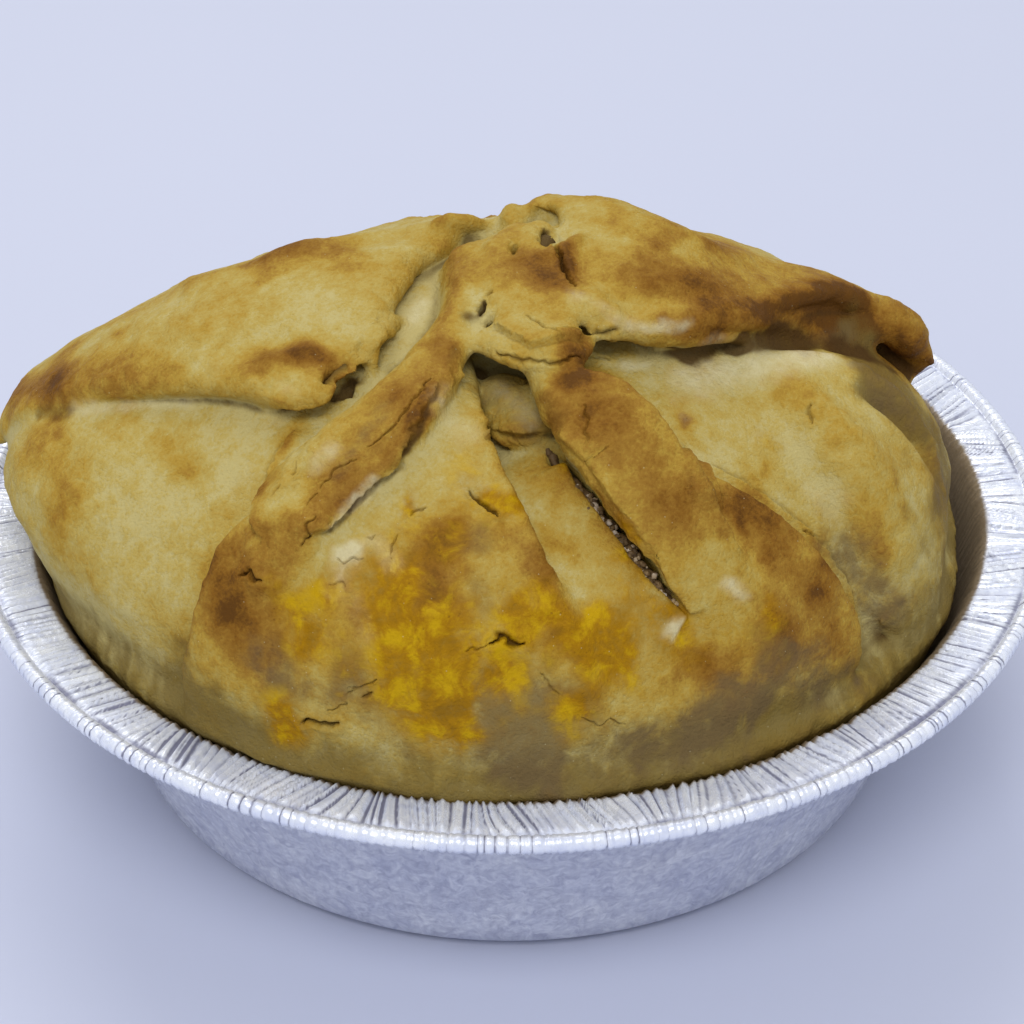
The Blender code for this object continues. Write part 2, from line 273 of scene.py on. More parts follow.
class Finish:
    """A procedural material in the making."""

    def __init__(self, name, **constants):
        self.material = bpy.data.materials.new(name)
        self.material.use_nodes = True
        self.tree = self.material.node_tree
        self.shader = self.tree.nodes["Principled BSDF"]
        for key, value in constants.items():
            self.feed(self.shader.inputs[key.replace("_", " ")], value)
        self.place = self.node("ShaderNodeTexCoord", output="Object")

    def feed(self, socket, value):
        if isinstance(value, Value):
            self.tree.links.new(value.socket, socket)
        else:
            socket.default_value = value

    def node(self, kind, settings=None, values=None, output=0):
        made = self.tree.nodes.new(kind)
        for key, value in (settings or {}).items():
            if key == "stops":
                self.set_stops(made.color_ramp, value)
            else:
                setattr(made, key, value)
        for key, value in (values or {}).items():
            self.feed(made.inputs[key], value)
        return Value(self, made.outputs[output])

    def set_stops(self, ramp, stops):
        while len(ramp.elements) < len(stops):
            ramp.elements.new(0.5)
        for element, (place, colour) in zip(ramp.elements, stops):
            element.position = place
            element.color = (*colour, 1.0)

    def noise(self, size, detail=3.0, roughness=0.5, warp=0.0, seed=0.0):
        """Noise from -0.5 to 0.5 with features of the given size in millimetres."""
        values = {"Vector": self.place, "W": seed, "Scale": 1 / (size * MM)}
        values.update({"Detail": detail, "Roughness": roughness, "Distortion": warp})
        return self.node("ShaderNodeTexNoise", {"noise_dimensions": "4D"}, values) - 0.5

    def dots(self, spacing, radius, chance):
        """Small round dots, in a chance share of the cells of the given spacing."""
        values = {"Vector": self.place, "Scale": 1 / (spacing * MM)}
        distance = self.node("ShaderNodeTexVoronoi", None, values)
        colour = self.node("ShaderNodeTexVoronoi", None, values, output="Color")
        pick = self.node("ShaderNodeSeparateColor", None, {0: colour})
        return (1 - distance.step(radius * 0.5, radius)) * (1 - pick.step(chance, chance + 0.02))

    def mark(self, name):
        """What the mesh says about the surface under this name."""
        return self.node("ShaderNodeAttribute", {"attribute_name": name}, output="Fac")

    def ramp(self, share, stops):
        return self.node("ShaderNodeValToRGB", {"stops": stops}, {0: share})

    def blend(self, share, first, second):
        """The first colour, turning into the second as share goes from 0 to 1."""
        def colour(value):
            return value if isinstance(value, Value) else (*value, 1.0)
        values = {0: share, 6: colour(first), 7: colour(second)}
        return self.node("ShaderNodeMix", {"data_type": "RGBA"}, values, output=2)

    def relief(self, height, depth, strength):
        """Bump from a height of 0 to 1 that stands for a depth in millimetres."""
        values = {"Strength": strength, "Distance": depth * MM, "Height": height}
        return self.node("ShaderNodeBump", None, values)

    def done(self, **links):
        for key, value in links.items():
            self.feed(self.shader.inputs[key.replace("_", " ")], value)
        return self.material


# Finishes


CREAM = (0.49, 0.405, 0.162)
BUTTER = (0.455, 0.338, 0.0893)
GOLDEN = (0.41, 0.257, 0.0399)
TAN = (0.304, 0.16, 0.0231)
BROWN = (0.215, 0.0945, 0.0115)
DEEP_BROWN = (0.116, 0.0473, 0.00735)
YOLK_BRIGHT = (0.50, 0.30, 0.003)
YOLK_GOLD = (0.34, 0.165, 0.002)
YOLK_OCHRE = (0.24, 0.115, 0.003)
FLOUR_PALE = (0.66, 0.61, 0.38)
MAUVE_GREY = (0.138, 0.092, 0.045)
PAINTED_SHADE_DARK = (0.070, 0.034, 0.010)
OLIVE_STEAMED_AND_SHADE = (0.168, 0.112, 0.027)
FOIL_BRIGHT = (0.91, 0.94, 1.0)
FOIL_DIM = (0.60, 0.65, 0.84)
FOIL_PAINTED_SHADE = (0.13, 0.13, 0.22)
FOIL_STAIN = (0.22, 0.145, 0.055)
FILLING_BLACK = (0.045, 0.026, 0.013)
FILLING_BROWN = (0.16, 0.10, 0.045)
FILLING_TAN = (0.34, 0.235, 0.11)
FILLING_PALE = (0.55, 0.47, 0.38)
FLOOR_DIM = (0.535, 0.565, 0.70)
FLOOR_LIGHT = (0.55, 0.58, 0.715)


def dough_finish():
    """Baked dough: cream where it is folded in, tan to brown where it stands up, with yellow patches."""
    dough = Finish("baked dough", Specular_IOR_Level=0.04, Coat_Roughness=0.40)
    broad = dough.noise(14, 2, warp=0.6, seed=1)
    mottle = dough.noise(4.4, 5, 0.62, warp=0.5, seed=2)
    blotch = dough.noise(1.5, 4, 0.6, warp=0.3, seed=3)
    grain = dough.noise(0.36, 3, 0.6, seed=4)
    cloud = dough.noise(3.0, 5, 0.65, warp=0.7, seed=5)
    browning = dough.mark("toast") + broad * 0.30 + mottle * 0.60 + blotch * 0.54 + grain * 0.42
    colour = dough.ramp(browning, [
        (0.04, CREAM), (0.20, BUTTER), (0.40, GOLDEN), (0.60, TAN), (0.82, BROWN), (1.0, DEEP_BROWN)
    ])
    # an olive tint low on the dough where it baked against the foil, and painted shade in the right-hand
    # furrow and the pocket above the slit
    steamed = (dough.mark("steamed") + cloud * 1.1).step(0.15, 1.05)
    colour = dough.blend(steamed * 0.85, colour, OLIVE_STEAMED_AND_SHADE)
    grey = (dough.mark("grey") * (1.0 + cloud * 2.2) + blotch * 0.5).step(0.15, 1.0)
    colour = dough.blend(grey * 0.74, colour, MAUVE_GREY)
    yolk = (dough.mark("yolk") * (1.0 + cloud * 1.7 + blotch * 0.7)).step(0.12, 1.15)
    wash = dough.ramp(cloud + mottle * 0.8 + 0.5, [
        (0.34, YOLK_OCHRE), (0.50, YOLK_GOLD), (0.66, YOLK_BRIGHT)
    ])
    colour = dough.blend(yolk * 0.95, colour, wash)
    pale = (dough.mark("pale") * (1.0 + cloud * 1.5 + blotch * 1.2)).step(0.15, 0.95)
    colour = dough.blend(pale * 0.72, colour, FLOUR_PALE)
    freckles = dough.dots(0.50, 0.26, 0.22) * (dough.mark("toast") + mottle * 0.6).step(0.42, 0.8)
    colour = dough.blend(freckles * 0.5, colour, BROWN)
    flecks = dough.dots(0.7, 0.13, 0.14)
    colour = dough.blend(flecks * 0.3, colour, FLOUR_PALE)
    # painted shade: the dough is darkened towards near black in its hollows and cracks, under the folds' lips
    # and along the rim
    crease = (dough.mark("crease") + blotch * 0.35).step(0.15, 1.0)
    colour = dough.blend(crease * 0.9, colour, PAINTED_SHADE_DARK)
    height = 0.5 + mottle * 0.35 + blotch * 0.40 + grain * 0.35 - freckles * 0.10
    return dough.done(
        Base_Color=colour,
        Roughness=(0.60 + mottle * 0.3 - yolk * 0.10).clamped(),
        Coat_Weight=(browning * 0.04 - pale * 0.1 - crease * 0.1).clamped(),
        Normal=dough.relief(height, 0.70, 0.9),
    )


def foil_finish():
    """Thin bright foil with soft crinkles, greasy and tinged where the dough has baked against it."""
    foil = Finish("crimped foil", Metallic=0.25)
    crinkle = foil.noise(1.8, 4, 0.6, warp=1.5, seed=1)
    haze = foil.noise(6, 3, seed=2)
    fine = foil.noise(0.35, 3, seed=3)
    colour = foil.blend((haze + crinkle * 1.6 + 0.38).clamped(), FOIL_BRIGHT, FOIL_DIM)
    # painted shade: dark lavender in the crimps' gaps and valleys, in the bead's nicks and groove, and over
    # the outer wall
    gap = (foil.mark("gap") + crinkle * 0.5).step(0.15, 0.9)
    colour = foil.blend(gap * 0.85, colour, FOIL_PAINTED_SHADE)
    stain = (foil.mark("stain") + crinkle * 0.7).step(0.42, 1.4)
    colour = foil.blend(stain * 0.9, colour, FOIL_STAIN)
    return foil.done(
        Base_Color=colour,
        Roughness=(0.28 + haze * 0.14 + fine * 0.10 + stain * 0.15 + gap * 0.2).clamped(),
        Normal=foil.relief(0.5 + crinkle * 0.8 + fine * 0.2, 0.25, 0.5),
    )


def filling_finish():
    """Dark moist crumbs with pale bits among them."""
    filling = Finish("dark filling", Specular_IOR_Level=0.15)
    patch = filling.noise(1.1, 4, 0.6, seed=1)
    grain = filling.noise(0.3, 3, seed=2)
    tone = filling.mark("tone") + patch * 0.5 + grain * 0.2
    colour = filling.ramp(tone, [
        (0.05, FILLING_BLACK), (0.40, FILLING_BROWN), (0.65, FILLING_TAN), (0.95, FILLING_PALE)
    ])
    return filling.done(
        Base_Color=colour,
        Roughness=0.48 + grain * 0.3,
        Normal=filling.relief(0.5 + grain * 0.6 + patch * 0.4, 0.2, 0.7),
    )


def floor_finish():
    """A plain pale surface with the faintest unevenness."""
    floor = Finish("pale tabletop")
    haze = floor.noise(90, 3)
    colour = floor.blend(haze + 0.5, FLOOR_DIM, FLOOR_LIGHT)
    return floor.done(Base_Color=colour, Roughness=0.6 + haze * 0.1)


# The crust. A place is its azimuth and elevation from the middle of the rim, and may add its distance


def cut_off_below(work, level):
    """Takes away what lies under the level, and gives the edges round the cut."""
    cut = bmesh.ops.bisect_plane(
        work, geom=[*work.verts, *work.edges, *work.faces],
        plane_co=(0, 0, level * MM), plane_no=(0, 0, -1), clear_outer=True,
    )
    return [e for e in cut["geom_cut"] if isinstance(e, bmesh.types.BMEdge)]


def crust_of_the_frame():
    """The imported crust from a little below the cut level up, as one closed welded mesh."""
    work = bmesh.new()
    work.from_mesh(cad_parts["crust"].data)
    bmesh.ops.remove_doubles(work, verts=work.verts, dist=WELD_GAP * MM)
    bmesh.ops.edgeloop_fill(work, edges=cut_off_below(work, CUT_LEVEL - KEPT_BELOW_CUT))
    bmesh.ops.triangulate(work, faces=work.faces)
    bmesh.ops.recalc_face_normals(work, faces=work.faces)
    mesh = bpy.data.meshes.new("crust_top")
    work.to_mesh(mesh)
    work.free()
    return mesh


class Surface:
    """Finds places on the dough by their azimuth and elevation."""

    def __init__(self, mesh):
        faces = [tuple(face.vertices) for face in mesh.polygons]
        self.tree = BVHTree.FromPolygons([tuple(p) for p in read_points(mesh)], faces)

    def spot(self, place, lift=0.0):
        """The outermost dough at a place, unless the place gives its own distance from the heart."""
        a, e = np.radians(place[:2])
        way = np.array([math.cos(a) * math.cos(e), math.sin(a) * math.cos(e), math.sin(e)])
        if len(place) == 3:
            return HEART + place[2] * way
        hit, _, _, _ = self.tree.ray_cast(Vector(HEART + OUTSIDE_ALL * way), Vector(-way))
        return np.array(hit) + lift * way

    def line(self, places, lift=0.0):
        return np.array([self.spot(place, lift) for place in places])


class Trace:
    """How the points near a line on the dough lie to it: distance, offset and travel along it."""

    def __init__(self, points, line, reach=6.0):
        middle = line.mean(axis=0)
        span = np.linalg.norm(line - middle, axis=1).max()
        self.index = np.flatnonzero(np.linalg.norm(points - middle, axis=1) < span + reach)
        self.points = points[self.index]
        self.distance = np.full(len(self.index), np.inf)
        self.offset = np.zeros((len(self.index), 3))
        self.direction = np.zeros((len(self.index), 3))
        self.travel = np.zeros(len(self.index))
        self.length = 0.0
        for start, end in zip(line, line[1:]):
            self.compare(start, end)

    def compare(self, start, end):
        length = np.linalg.norm(end - start)
        direction = (end - start) / length
        t = np.clip((self.points - start) @ direction, 0, length)
        offset = self.points - start - t[:, None] * direction
        distance = np.linalg.norm(offset, axis=1)
        closer = distance < self.distance
        self.distance[closer] = distance[closer]
        self.offset[closer] = offset[closer]
        self.direction[closer] = direction
        self.travel[closer] = self.length + t[closer]
        self.length += length

    def sideways(self):
        """Unit vectors to the left of the line, seen from outside."""
        outward = self.points - HEART
        left = np.cross(outward, self.direction)
        return left / np.linalg.norm(left, axis=1)[:, None]

    def side(self):
        """Signed distance: positive on the left of the line."""
        return np.einsum("ij,ij->i", self.offset, self.sideways())

    def past_end(self):
        """How far a point lies beyond the line's ends, along it."""
        return np.abs(np.einsum("ij,ij->i", self.offset, self.direction))

    def fade(self, ends):
        return smooth(np.minimum(self.travel, self.length - self.travel) / ends)


# Browning, stains and painted shade of each kind: from, to, half width, strength
STAINS = {
    "toast": [
        ((300, 67), (325, 57), 6.5, 0.28), ((328, 54), (352, 38), 6.0, 0.36),
        ((312, 50.5), (334, 46.3), 2.0, 0.30), ((334, 46), (353, 34), 2.6, 0.36),
        ((352, 36), (357, 21), 4.4, 0.56), ((0, 55), (30, 45), 9.0, 0.34), ((45, 60), (55, 40), 8.0, 0.30),
        ((100, 45), (110, 30), 8.0, 0.25), ((188, 52), (195, 61), 3.6, 0.50),
        ((182, 30), (186, 44), 3.6, 0.28), ((182, 14), (190, 22), 3.4, 0.62),
        ((192, 23), (207, 33.5), 3.4, 0.34), ((200, 38), (206, 44), 5.0, 0.12),
        ((220, 42), (230, 46.5), 2.2, 0.40), ((228, 46.6), (234.5, 46), 2.0, 0.35),
        ((212, 60), (222, 66), 3.0, 0.14), ((200, 79), (246, 68), 2.4, 0.32),
        ((250, 64), (254, 52), 1.8, 0.28), ((252, 48), (244, 31), 2.2, 0.30),
        ((257, 52), (255, 43), 1.8, 0.26), ((254.5, 42), (247, 30), 2.0, 0.24),
        ((247, 30), (240, 22), 2.6, 0.28), ((231.5, 36), (236, 28.5), 1.6, 0.40),
        ((235.5, 20), (239, 17), 4.0, 0.30), ((239, 17), (243, 13), 3.4, 0.30),
        ((214, 27.5), (220, 26.5), 2.6, 0.30), ((197, 17), (205, 18), 2.8, 0.30),
        ((209, 14), (214, 12), 3.0, 0.16), ((268, 68), (285, 68), 3.6, 0.26),
        ((282, 71), (283, 66), 1.8, 0.28), ((276, 60), (284, 57), 2.4, 0.10),
        ((285, 49.5), (291, 48), 3.0, 0.72), ((282, 46), (286, 40), 2.4, 0.24),
        ((287, 43), (293, 29), 4.6, 0.34), ((303, 28), (306, 22), 3.4, 0.60),
        ((309, 17), (311, 6), 2.6, 0.28), ((301, 17), (301.5, 14), 2.4, 0.26),
        ((292, 13), (292.5, 11), 2.4, 0.36), ((261.5, 28), (262, 21), 2.4, 0.46),
        ((259, 27), (260, 20), 2.4, 0.22), ((274, 25), (275, 19), 2.0, 0.36),
        ((253, 20), (254, 19), 1.6, 0.30), ((320.5, 19), (321, 15), 2.4, 0.26),
        ((240, 12), (300, 9), 9.0, 0.20), ((276, 38), (286, 23), 3.0, 0.16),
        ((266, 30), (274, 26), 3.4, 0.16), ((298, 72), (294.5, 64.5), 1.3, 0.30),
        ((288, 36), (292, 26), 4.0, 0.12), ((290, 12), (308, 12), 3.0, 0.22),
        ((242, 14), (312, 14), 11.0, 0.10), ((346, 30), (338, 14), 4.5, 0.30),
        ((359.8, 24, 47.4), (359.2, 19, 50.4), 2.6, 0.60),
    ],
    "yolk": [
        ((256, 28), (262, 12), 6.5, 0.42), ((268, 20), (284, 15), 6.0, 0.36),
        ((257.5, 24), (257, 20.5), 1.5, 0.85), ((257, 19), (257.5, 17), 1.7, 1.00),
        ((262, 19), (262, 9.5), 2.1, 0.80), ((265, 17), (265, 11), 2.2, 0.50),
        ((246, 8), (247, 5.5), 2.6, 1.30), ((256.5, 21), (258, 15.5), 1.8, 0.90),
        ((247, 19), (250, 15), 2.2, 0.45), ((254, 24), (258, 14), 3.4, 0.55),
        ((284, 19), (300, 13), 3.2, 0.40), ((248, 16), (247.5, 15), 1.5, 0.80),
        ((242.5, 21), (245, 19), 1.5, 0.45), ((268, 33), (270.5, 32), 1.4, 0.95),
        ((256, 32), (256.5, 31), 1.2, 0.70), ((263, 38), (265, 33), 2.4, 0.45),
        ((271, 21), (271.5, 19.5), 1.7, 0.80), ((269, 15), (271, 14), 1.8, 0.65),
        ((274.5, 23), (276, 19), 1.6, 0.55), ((280, 18.5), (282, 16), 2.2, 0.90),
        ((282.5, 14), (283, 12), 1.9, 0.60), ((276, 9), (276.5, 7), 2.2, 0.60),
        ((288, 17), (291, 13), 2.0, 0.50), ((301, 17), (301, 15), 1.4, 0.55),
        ((263.5, 10.5), (264, 8), 2.0, 0.55), ((276.5, 36.5), (277, 35.5), 1.1, 0.70),
        ((285, 28.5), (286, 27), 1.0, 0.75), ((284, 24.5), (285, 22.5), 1.2, 0.60),
        ((315.5, 33), (316, 31), 2.2, 0.42), ((317, 22), (317.5, 20.5), 2.0, 0.45),
        ((214, 39), (215, 38), 1.6, 0.40), ((228, 36), (231, 35), 1.8, 0.42),
        ((205, 16), (210, 13), 3.0, 0.32), ((230, 28), (232, 22), 2.6, 0.32),
        ((225, 8), (238, 4), 3.0, 0.30), ((330, 24), (333, 18), 2.4, 0.30),
    ],
    "grey": [
        ((262, 12), (280, 5), 5.0, 0.50), ((266, 29), (266, 28), 1.6, 0.70),
        ((266, 23.5), (267, 21.5), 1.6, 0.60), ((270.5, 12), (272.5, 7), 3.4, 1.40),
        ((243, 13), (246.5, 10.5), 2.6, 0.65), ((253, 15), (254, 13), 2.2, 0.55),
        ((250, 11), (258, 6), 3.4, 0.35), ((299, 14), (300, 12), 2.2, 0.50),
        ((293, 7), (294, 5), 3.6, 0.95), ((285, 4), (289, 3), 3.0, 0.70), ((303, 9), (307, 4), 3.6, 0.80),
        ((318, 15), (320, 8), 4.0, 0.85), ((231, 11), (236, 7), 3.4, 0.25),
        ((338, 28), (344, 8), 4.0, 0.70), ((330, 43), (350, 33), 2.2, 0.55),
        ((249, 42), (246, 33), 1.1, 0.45), ((266, 51, 39), (275, 43.5, 41), 3.0, 0.45),
    ],
    # olive tint by the foil, and painted shade in the right-hand furrow and the pocket above the slit
    "steamed": [
        ((236, 9), (243, 4), 4.0, 0.30), ((336, 30), (340, 22), 2.4, 0.90),
        ((345, 28), (348, 8), 4.5, 0.80), ((346, 30), (338, 12), 5.0, 0.75),
        ((232, 8), (238, 4), 4.0, 0.35), ((325, 10), (335, 4), 5.0, 0.40), ((236, 2), (300, 2), 7.0, 0.45),
        ((265, 52, 38.5), (276, 43, 41), 3.2, 0.70),
    ],
    "pale": [
        ((249.5, 25), (250.5, 25.5), 1.3, 0.90), ((253, 27), (256, 25), 1.6, 0.45),
        ((252, 21), (254.5, 17.5), 2.2, 0.30), ((287.5, 16.5), (288.5, 16), 1.0, 0.85),
        ((296.5, 20.5), (298, 18.5), 1.3, 0.60), ((258, 45), (263, 41), 2.4, 0.45),
        ((267, 50, 39.5), (274, 44, 41), 1.6, 0.40), ((300, 51), (305, 50), 1.2, 0.70),
        ((310, 49.2, 40.5), (313, 48.5, 40.5), 0.6, 0.90), ((290, 61, 42.5), (302, 53.5, 43.5), 1.6, 0.50),
        ((302, 53.3, 43.5), (314, 51.3, 43.5), 0.8, 0.50), ((247, 27.5), (251, 33), 1.0, 0.65),
        ((244, 36), (243, 34), 1.6, 0.50), ((232, 65), (236, 60), 1.5, 0.60),
        ((312, 45), (338, 36), 3.2, 0.70), ((317, 24), (320, 22), 2.0, 0.35),
        ((198, 22.5), (211, 32), 1.2, 0.50), ((228, 41), (238, 38), 1.6, 0.30),
    ],
    # painted shade: dark lines under the right fold's lip, in small holes and at the feet of layers
    "crease": [
        ((258.5, 59), (262, 53), 1.3, 0.80), ((293.5, 53.7, 40), (315, 48.4, 40.3), 0.8, 1.0),
        ((315, 48.4, 40.3), (329, 44.6, 41), 0.9, 1.0), ((327, 45, 41.4), (338, 41.3, 41.8), 1.3, 1.0),
        ((328, 45.4, 42.2), (336, 42.4, 42.2), 1.5, 1.6),
        ((337.5, 41.4, 41.7), (343, 37.6, 42.3), 1.3, 1.0),
        ((343, 37.6, 42.3), (349.6, 30.3, 46), 1.2, 0.9),
        ((359.8, 23.5, 47.4), (359.2, 19.6, 50.2), 1.6, 0.8), ((338, 42, 42.6), (347, 35), 1.8, 0.6),
        ((347, 33), (351, 25), 1.1, 0.70), ((262, 61.8, 41.2), (261.7, 59.8, 41.2), 0.50, 1.20),
        ((300, 78.2), (295, 76), 0.6, 0.8), ((234, 42.8, 42), (234.5, 46, 41), 0.95, 1.20),
        ((258, 52.5), (254.5, 38), 0.7, 0.60), ((254, 37.5), (248, 29), 0.5, 0.50),
        ((216.5, 36), (234, 39.5), 0.7, 0.45), ((193, 18.8), (197, 21.6), 1.1, 0.60),
        ((276, 47), (279, 40), 0.9, 0.45),
    ],
}

# Cracks: places along the crack, half width, depth
CRACKS = [
    ([(238.5, 20.6), (239.7, 21.3), (240.6, 20.8), (241.6, 21)], 0.22, 0.8),
    ([(255, 47.5), (253.5, 44.5), (253, 42.5), (250.5, 39), (249, 37)], 0.09, 0.4),
    ([(248, 35.5), (246, 34), (244.5, 31.5), (244, 29.5)], 0.09, 0.35),
    ([(245.5, 28.5), (245.2, 27.5), (245.8, 26.5), (245, 25.5)], 0.12, 0.5),
    ([(239.5, 33.5), (240.5, 32)], 0.10, 0.3),
    ([(239.5, 30.5), (239, 29)], 0.09, 0.3),
    ([(249.2, 24.6), (250, 24.2), (251, 24.8), (252.2, 25)], 0.09, 0.35),
    ([(249, 22), (250, 22.4), (251, 22)], 0.08, 0.25),
    ([(255.5, 25.5), (255.2, 26.7), (255.8, 28)], 0.10, 0.35),
    ([(251.8, 26.8), (253, 27.5)], 0.08, 0.25),
    ([(264.4, 33.7), (265.5, 32.3), (266.5, 32), (268.2, 30.8)], 0.18, 0.9),
    ([(256.8, 30.3), (257.6, 30.8), (258.6, 31.2)], 0.12, 0.4),
    ([(248.3, 6.8), (249.2, 7.4), (250.4, 7.2), (252.2, 7.8)], 0.28, 1.0),
    ([(251, 9), (252.8, 10.2), (253.4, 12), (256, 13.2)], 0.08, 0.3),
    ([(254.6, 11.2), (255.5, 11.8)], 0.20, 0.5),
    ([(267.8, 17.7), (269, 18.5), (270, 17.8), (271.6, 17.6)], 0.26, 1.0),
    ([(265.2, 17), (267.6, 17.6)], 0.08, 0.3),
    ([(277.5, 9.2), (279.4, 8.2), (280.6, 8.4), (282.2, 7.4)], 0.08, 0.25),
    ([(273.4, 14.6), (274.2, 13), (275.6, 11.8)], 0.08, 0.25),
    ([(282.5, 43.6), (283.6, 42.2), (283, 41), (283.2, 39)], 0.10, 0.35),
    ([(281.4, 37.1), (282.1, 35.8)], 0.09, 0.3),
    ([(274.5, 58.5), (277, 57.2), (278.4, 55.6), (281.5, 53.5)], 0.12, 0.5),
    ([(267, 52.4), (272, 51), (278, 50.2), (285, 50.6)], 0.16, 0.5),
    ([(284, 55), (289, 55), (293.5, 54), (297, 53)], 0.20, 0.8),
    ([(325, 33.1), (323.6, 32.6), (323, 31.3)], 0.16, 0.4),
    ([(312, 20.6), (314, 19.4)], 0.14, 0.4),
    ([(300.5, 78.6), (297, 76.5), (291, 74.2)], 0.70, 1.8),
    ([(297.6, 75), (293, 70), (291.6, 66), (291, 63.5)], 0.26, 1.1),
    ([(195, 84), (205, 82)], 0.25, 0.8),
    ([(273.5, 75.4), (272.6, 73.6), (272, 72.4)], 0.34, 1.1),
    ([(263.5, 64), (262.5, 63)], 0.24, 0.7),
    ([(262, 62, 41.4), (261.6, 59.6, 41.4)], 0.36, 1.3),
    ([(233.8, 42.4, 42.2), (234.2, 44, 41.7), (234.5, 46, 41)], 0.80, 1.0),
]

# Soft furrows and, where the depth is negative, ridges: places, half width, depth
FURROWS = [
    ([(334, 33), (336, 29.5), (337, 27), (337.5, 24), (338, 20), (339, 12)], 1.5, 2.2),
    ([(303, 52.6), (318, 48.4), (334, 42.6), (345, 36.5), (348, 31), (351, 25)], 1.1, 1.1),
    ([(10, 86.5), (357, 84.6), (306, 80.5)], 1.5, 2.8),
    ([(189, 61), (189.5, 66), (187, 71), (184, 75)], 2.4, 0.9),
    ([(219, 40.5), (224.5, 45), (228, 47.5), (229.5, 49.5)], 1.4, -0.7),
    ([(209, 38), (217, 44), (222, 50)], 2.6, 0.7),
    ([(189.5, 49), (188, 55.5), (195, 61)], 2.4, -0.6),
    ([(241, 35), (243, 31), (244, 27)], 1.8, 0.5),
    ([(247, 21), (245, 15), (246, 10)], 2.4, 0.5),
    ([(262, 27), (261, 18), (262, 10)], 2.2, -0.45),
    ([(270, 27), (271, 18), (270, 10)], 2.4, 0.4),
    ([(281, 22), (279, 14), (280, 8)], 2.2, -0.4),
    ([(293, 24), (291, 16), (292, 8)], 2.4, 0.45),
    ([(303, 24), (302, 15), (303, 8)], 2.4, -0.35),
    ([(322, 40), (325, 30), (326, 18)], 3.0, -0.6),
    ([(330, 36), (331, 26), (332, 16)], 2.4, 0.5),
    ([(206, 30), (208, 20), (210, 10)], 3.2, -0.5),
    ([(220, 33), (222, 22), (224, 10)], 2.8, 0.5),
    ([(300, 66), (318, 58), (335, 50)], 2.6, -0.5),
    ([(340, 62), (350, 50), (356, 40)], 3.0, 0.6),
]

# Edges of thin layers of dough, raised on the left of the line: places, height, how far the rise reaches
LAYER_EDGES = [
    ([(231.5, 37), (232, 33), (233, 30), (236, 28), (238, 25.5), (240, 24.5)], 0.8, 3.0),
    ([(244.5, 25), (247, 27.8), (249, 30.5), (251, 33), (253, 35.5), (254.6, 39), (255.5, 43), (257, 48)],
     0.7, 3.2),
    ([(299.5, 27), (300, 31), (300.5, 34.5), (299.5, 38.5), (297.5, 44), (295.5, 50)], 0.9, 5.0),
    ([(313, 2), (316, 6), (316.5, 11.5), (315, 17), (311.5, 23.5), (307, 29), (302, 34)], 0.5, 2.0),
    ([(266, 43), (271, 41.6), (277, 42)], 0.8, 2.0),
    ([(262, 57), (266.5, 57), (274.5, 52.6), (290.5, 54)], 0.5, 2.0),
]

# Edges of dough that are frayed: places along them, and by how much
FRAYED = [
    ([(258, 52), (256, 46), (255, 42), (255, 38)], 0.45),
    ([(260, 51), (264, 45), (267, 45), (271, 40), (273, 35.5), (275.5, 32.5), (276, 29)], 0.5),
    ([(232, 58), (236, 50), (237, 44), (236, 41)], 0.5),
    ([(278.5, 38.5), (281, 35.5), (283, 32), (285, 29), (287, 25.5)], 0.3),
]

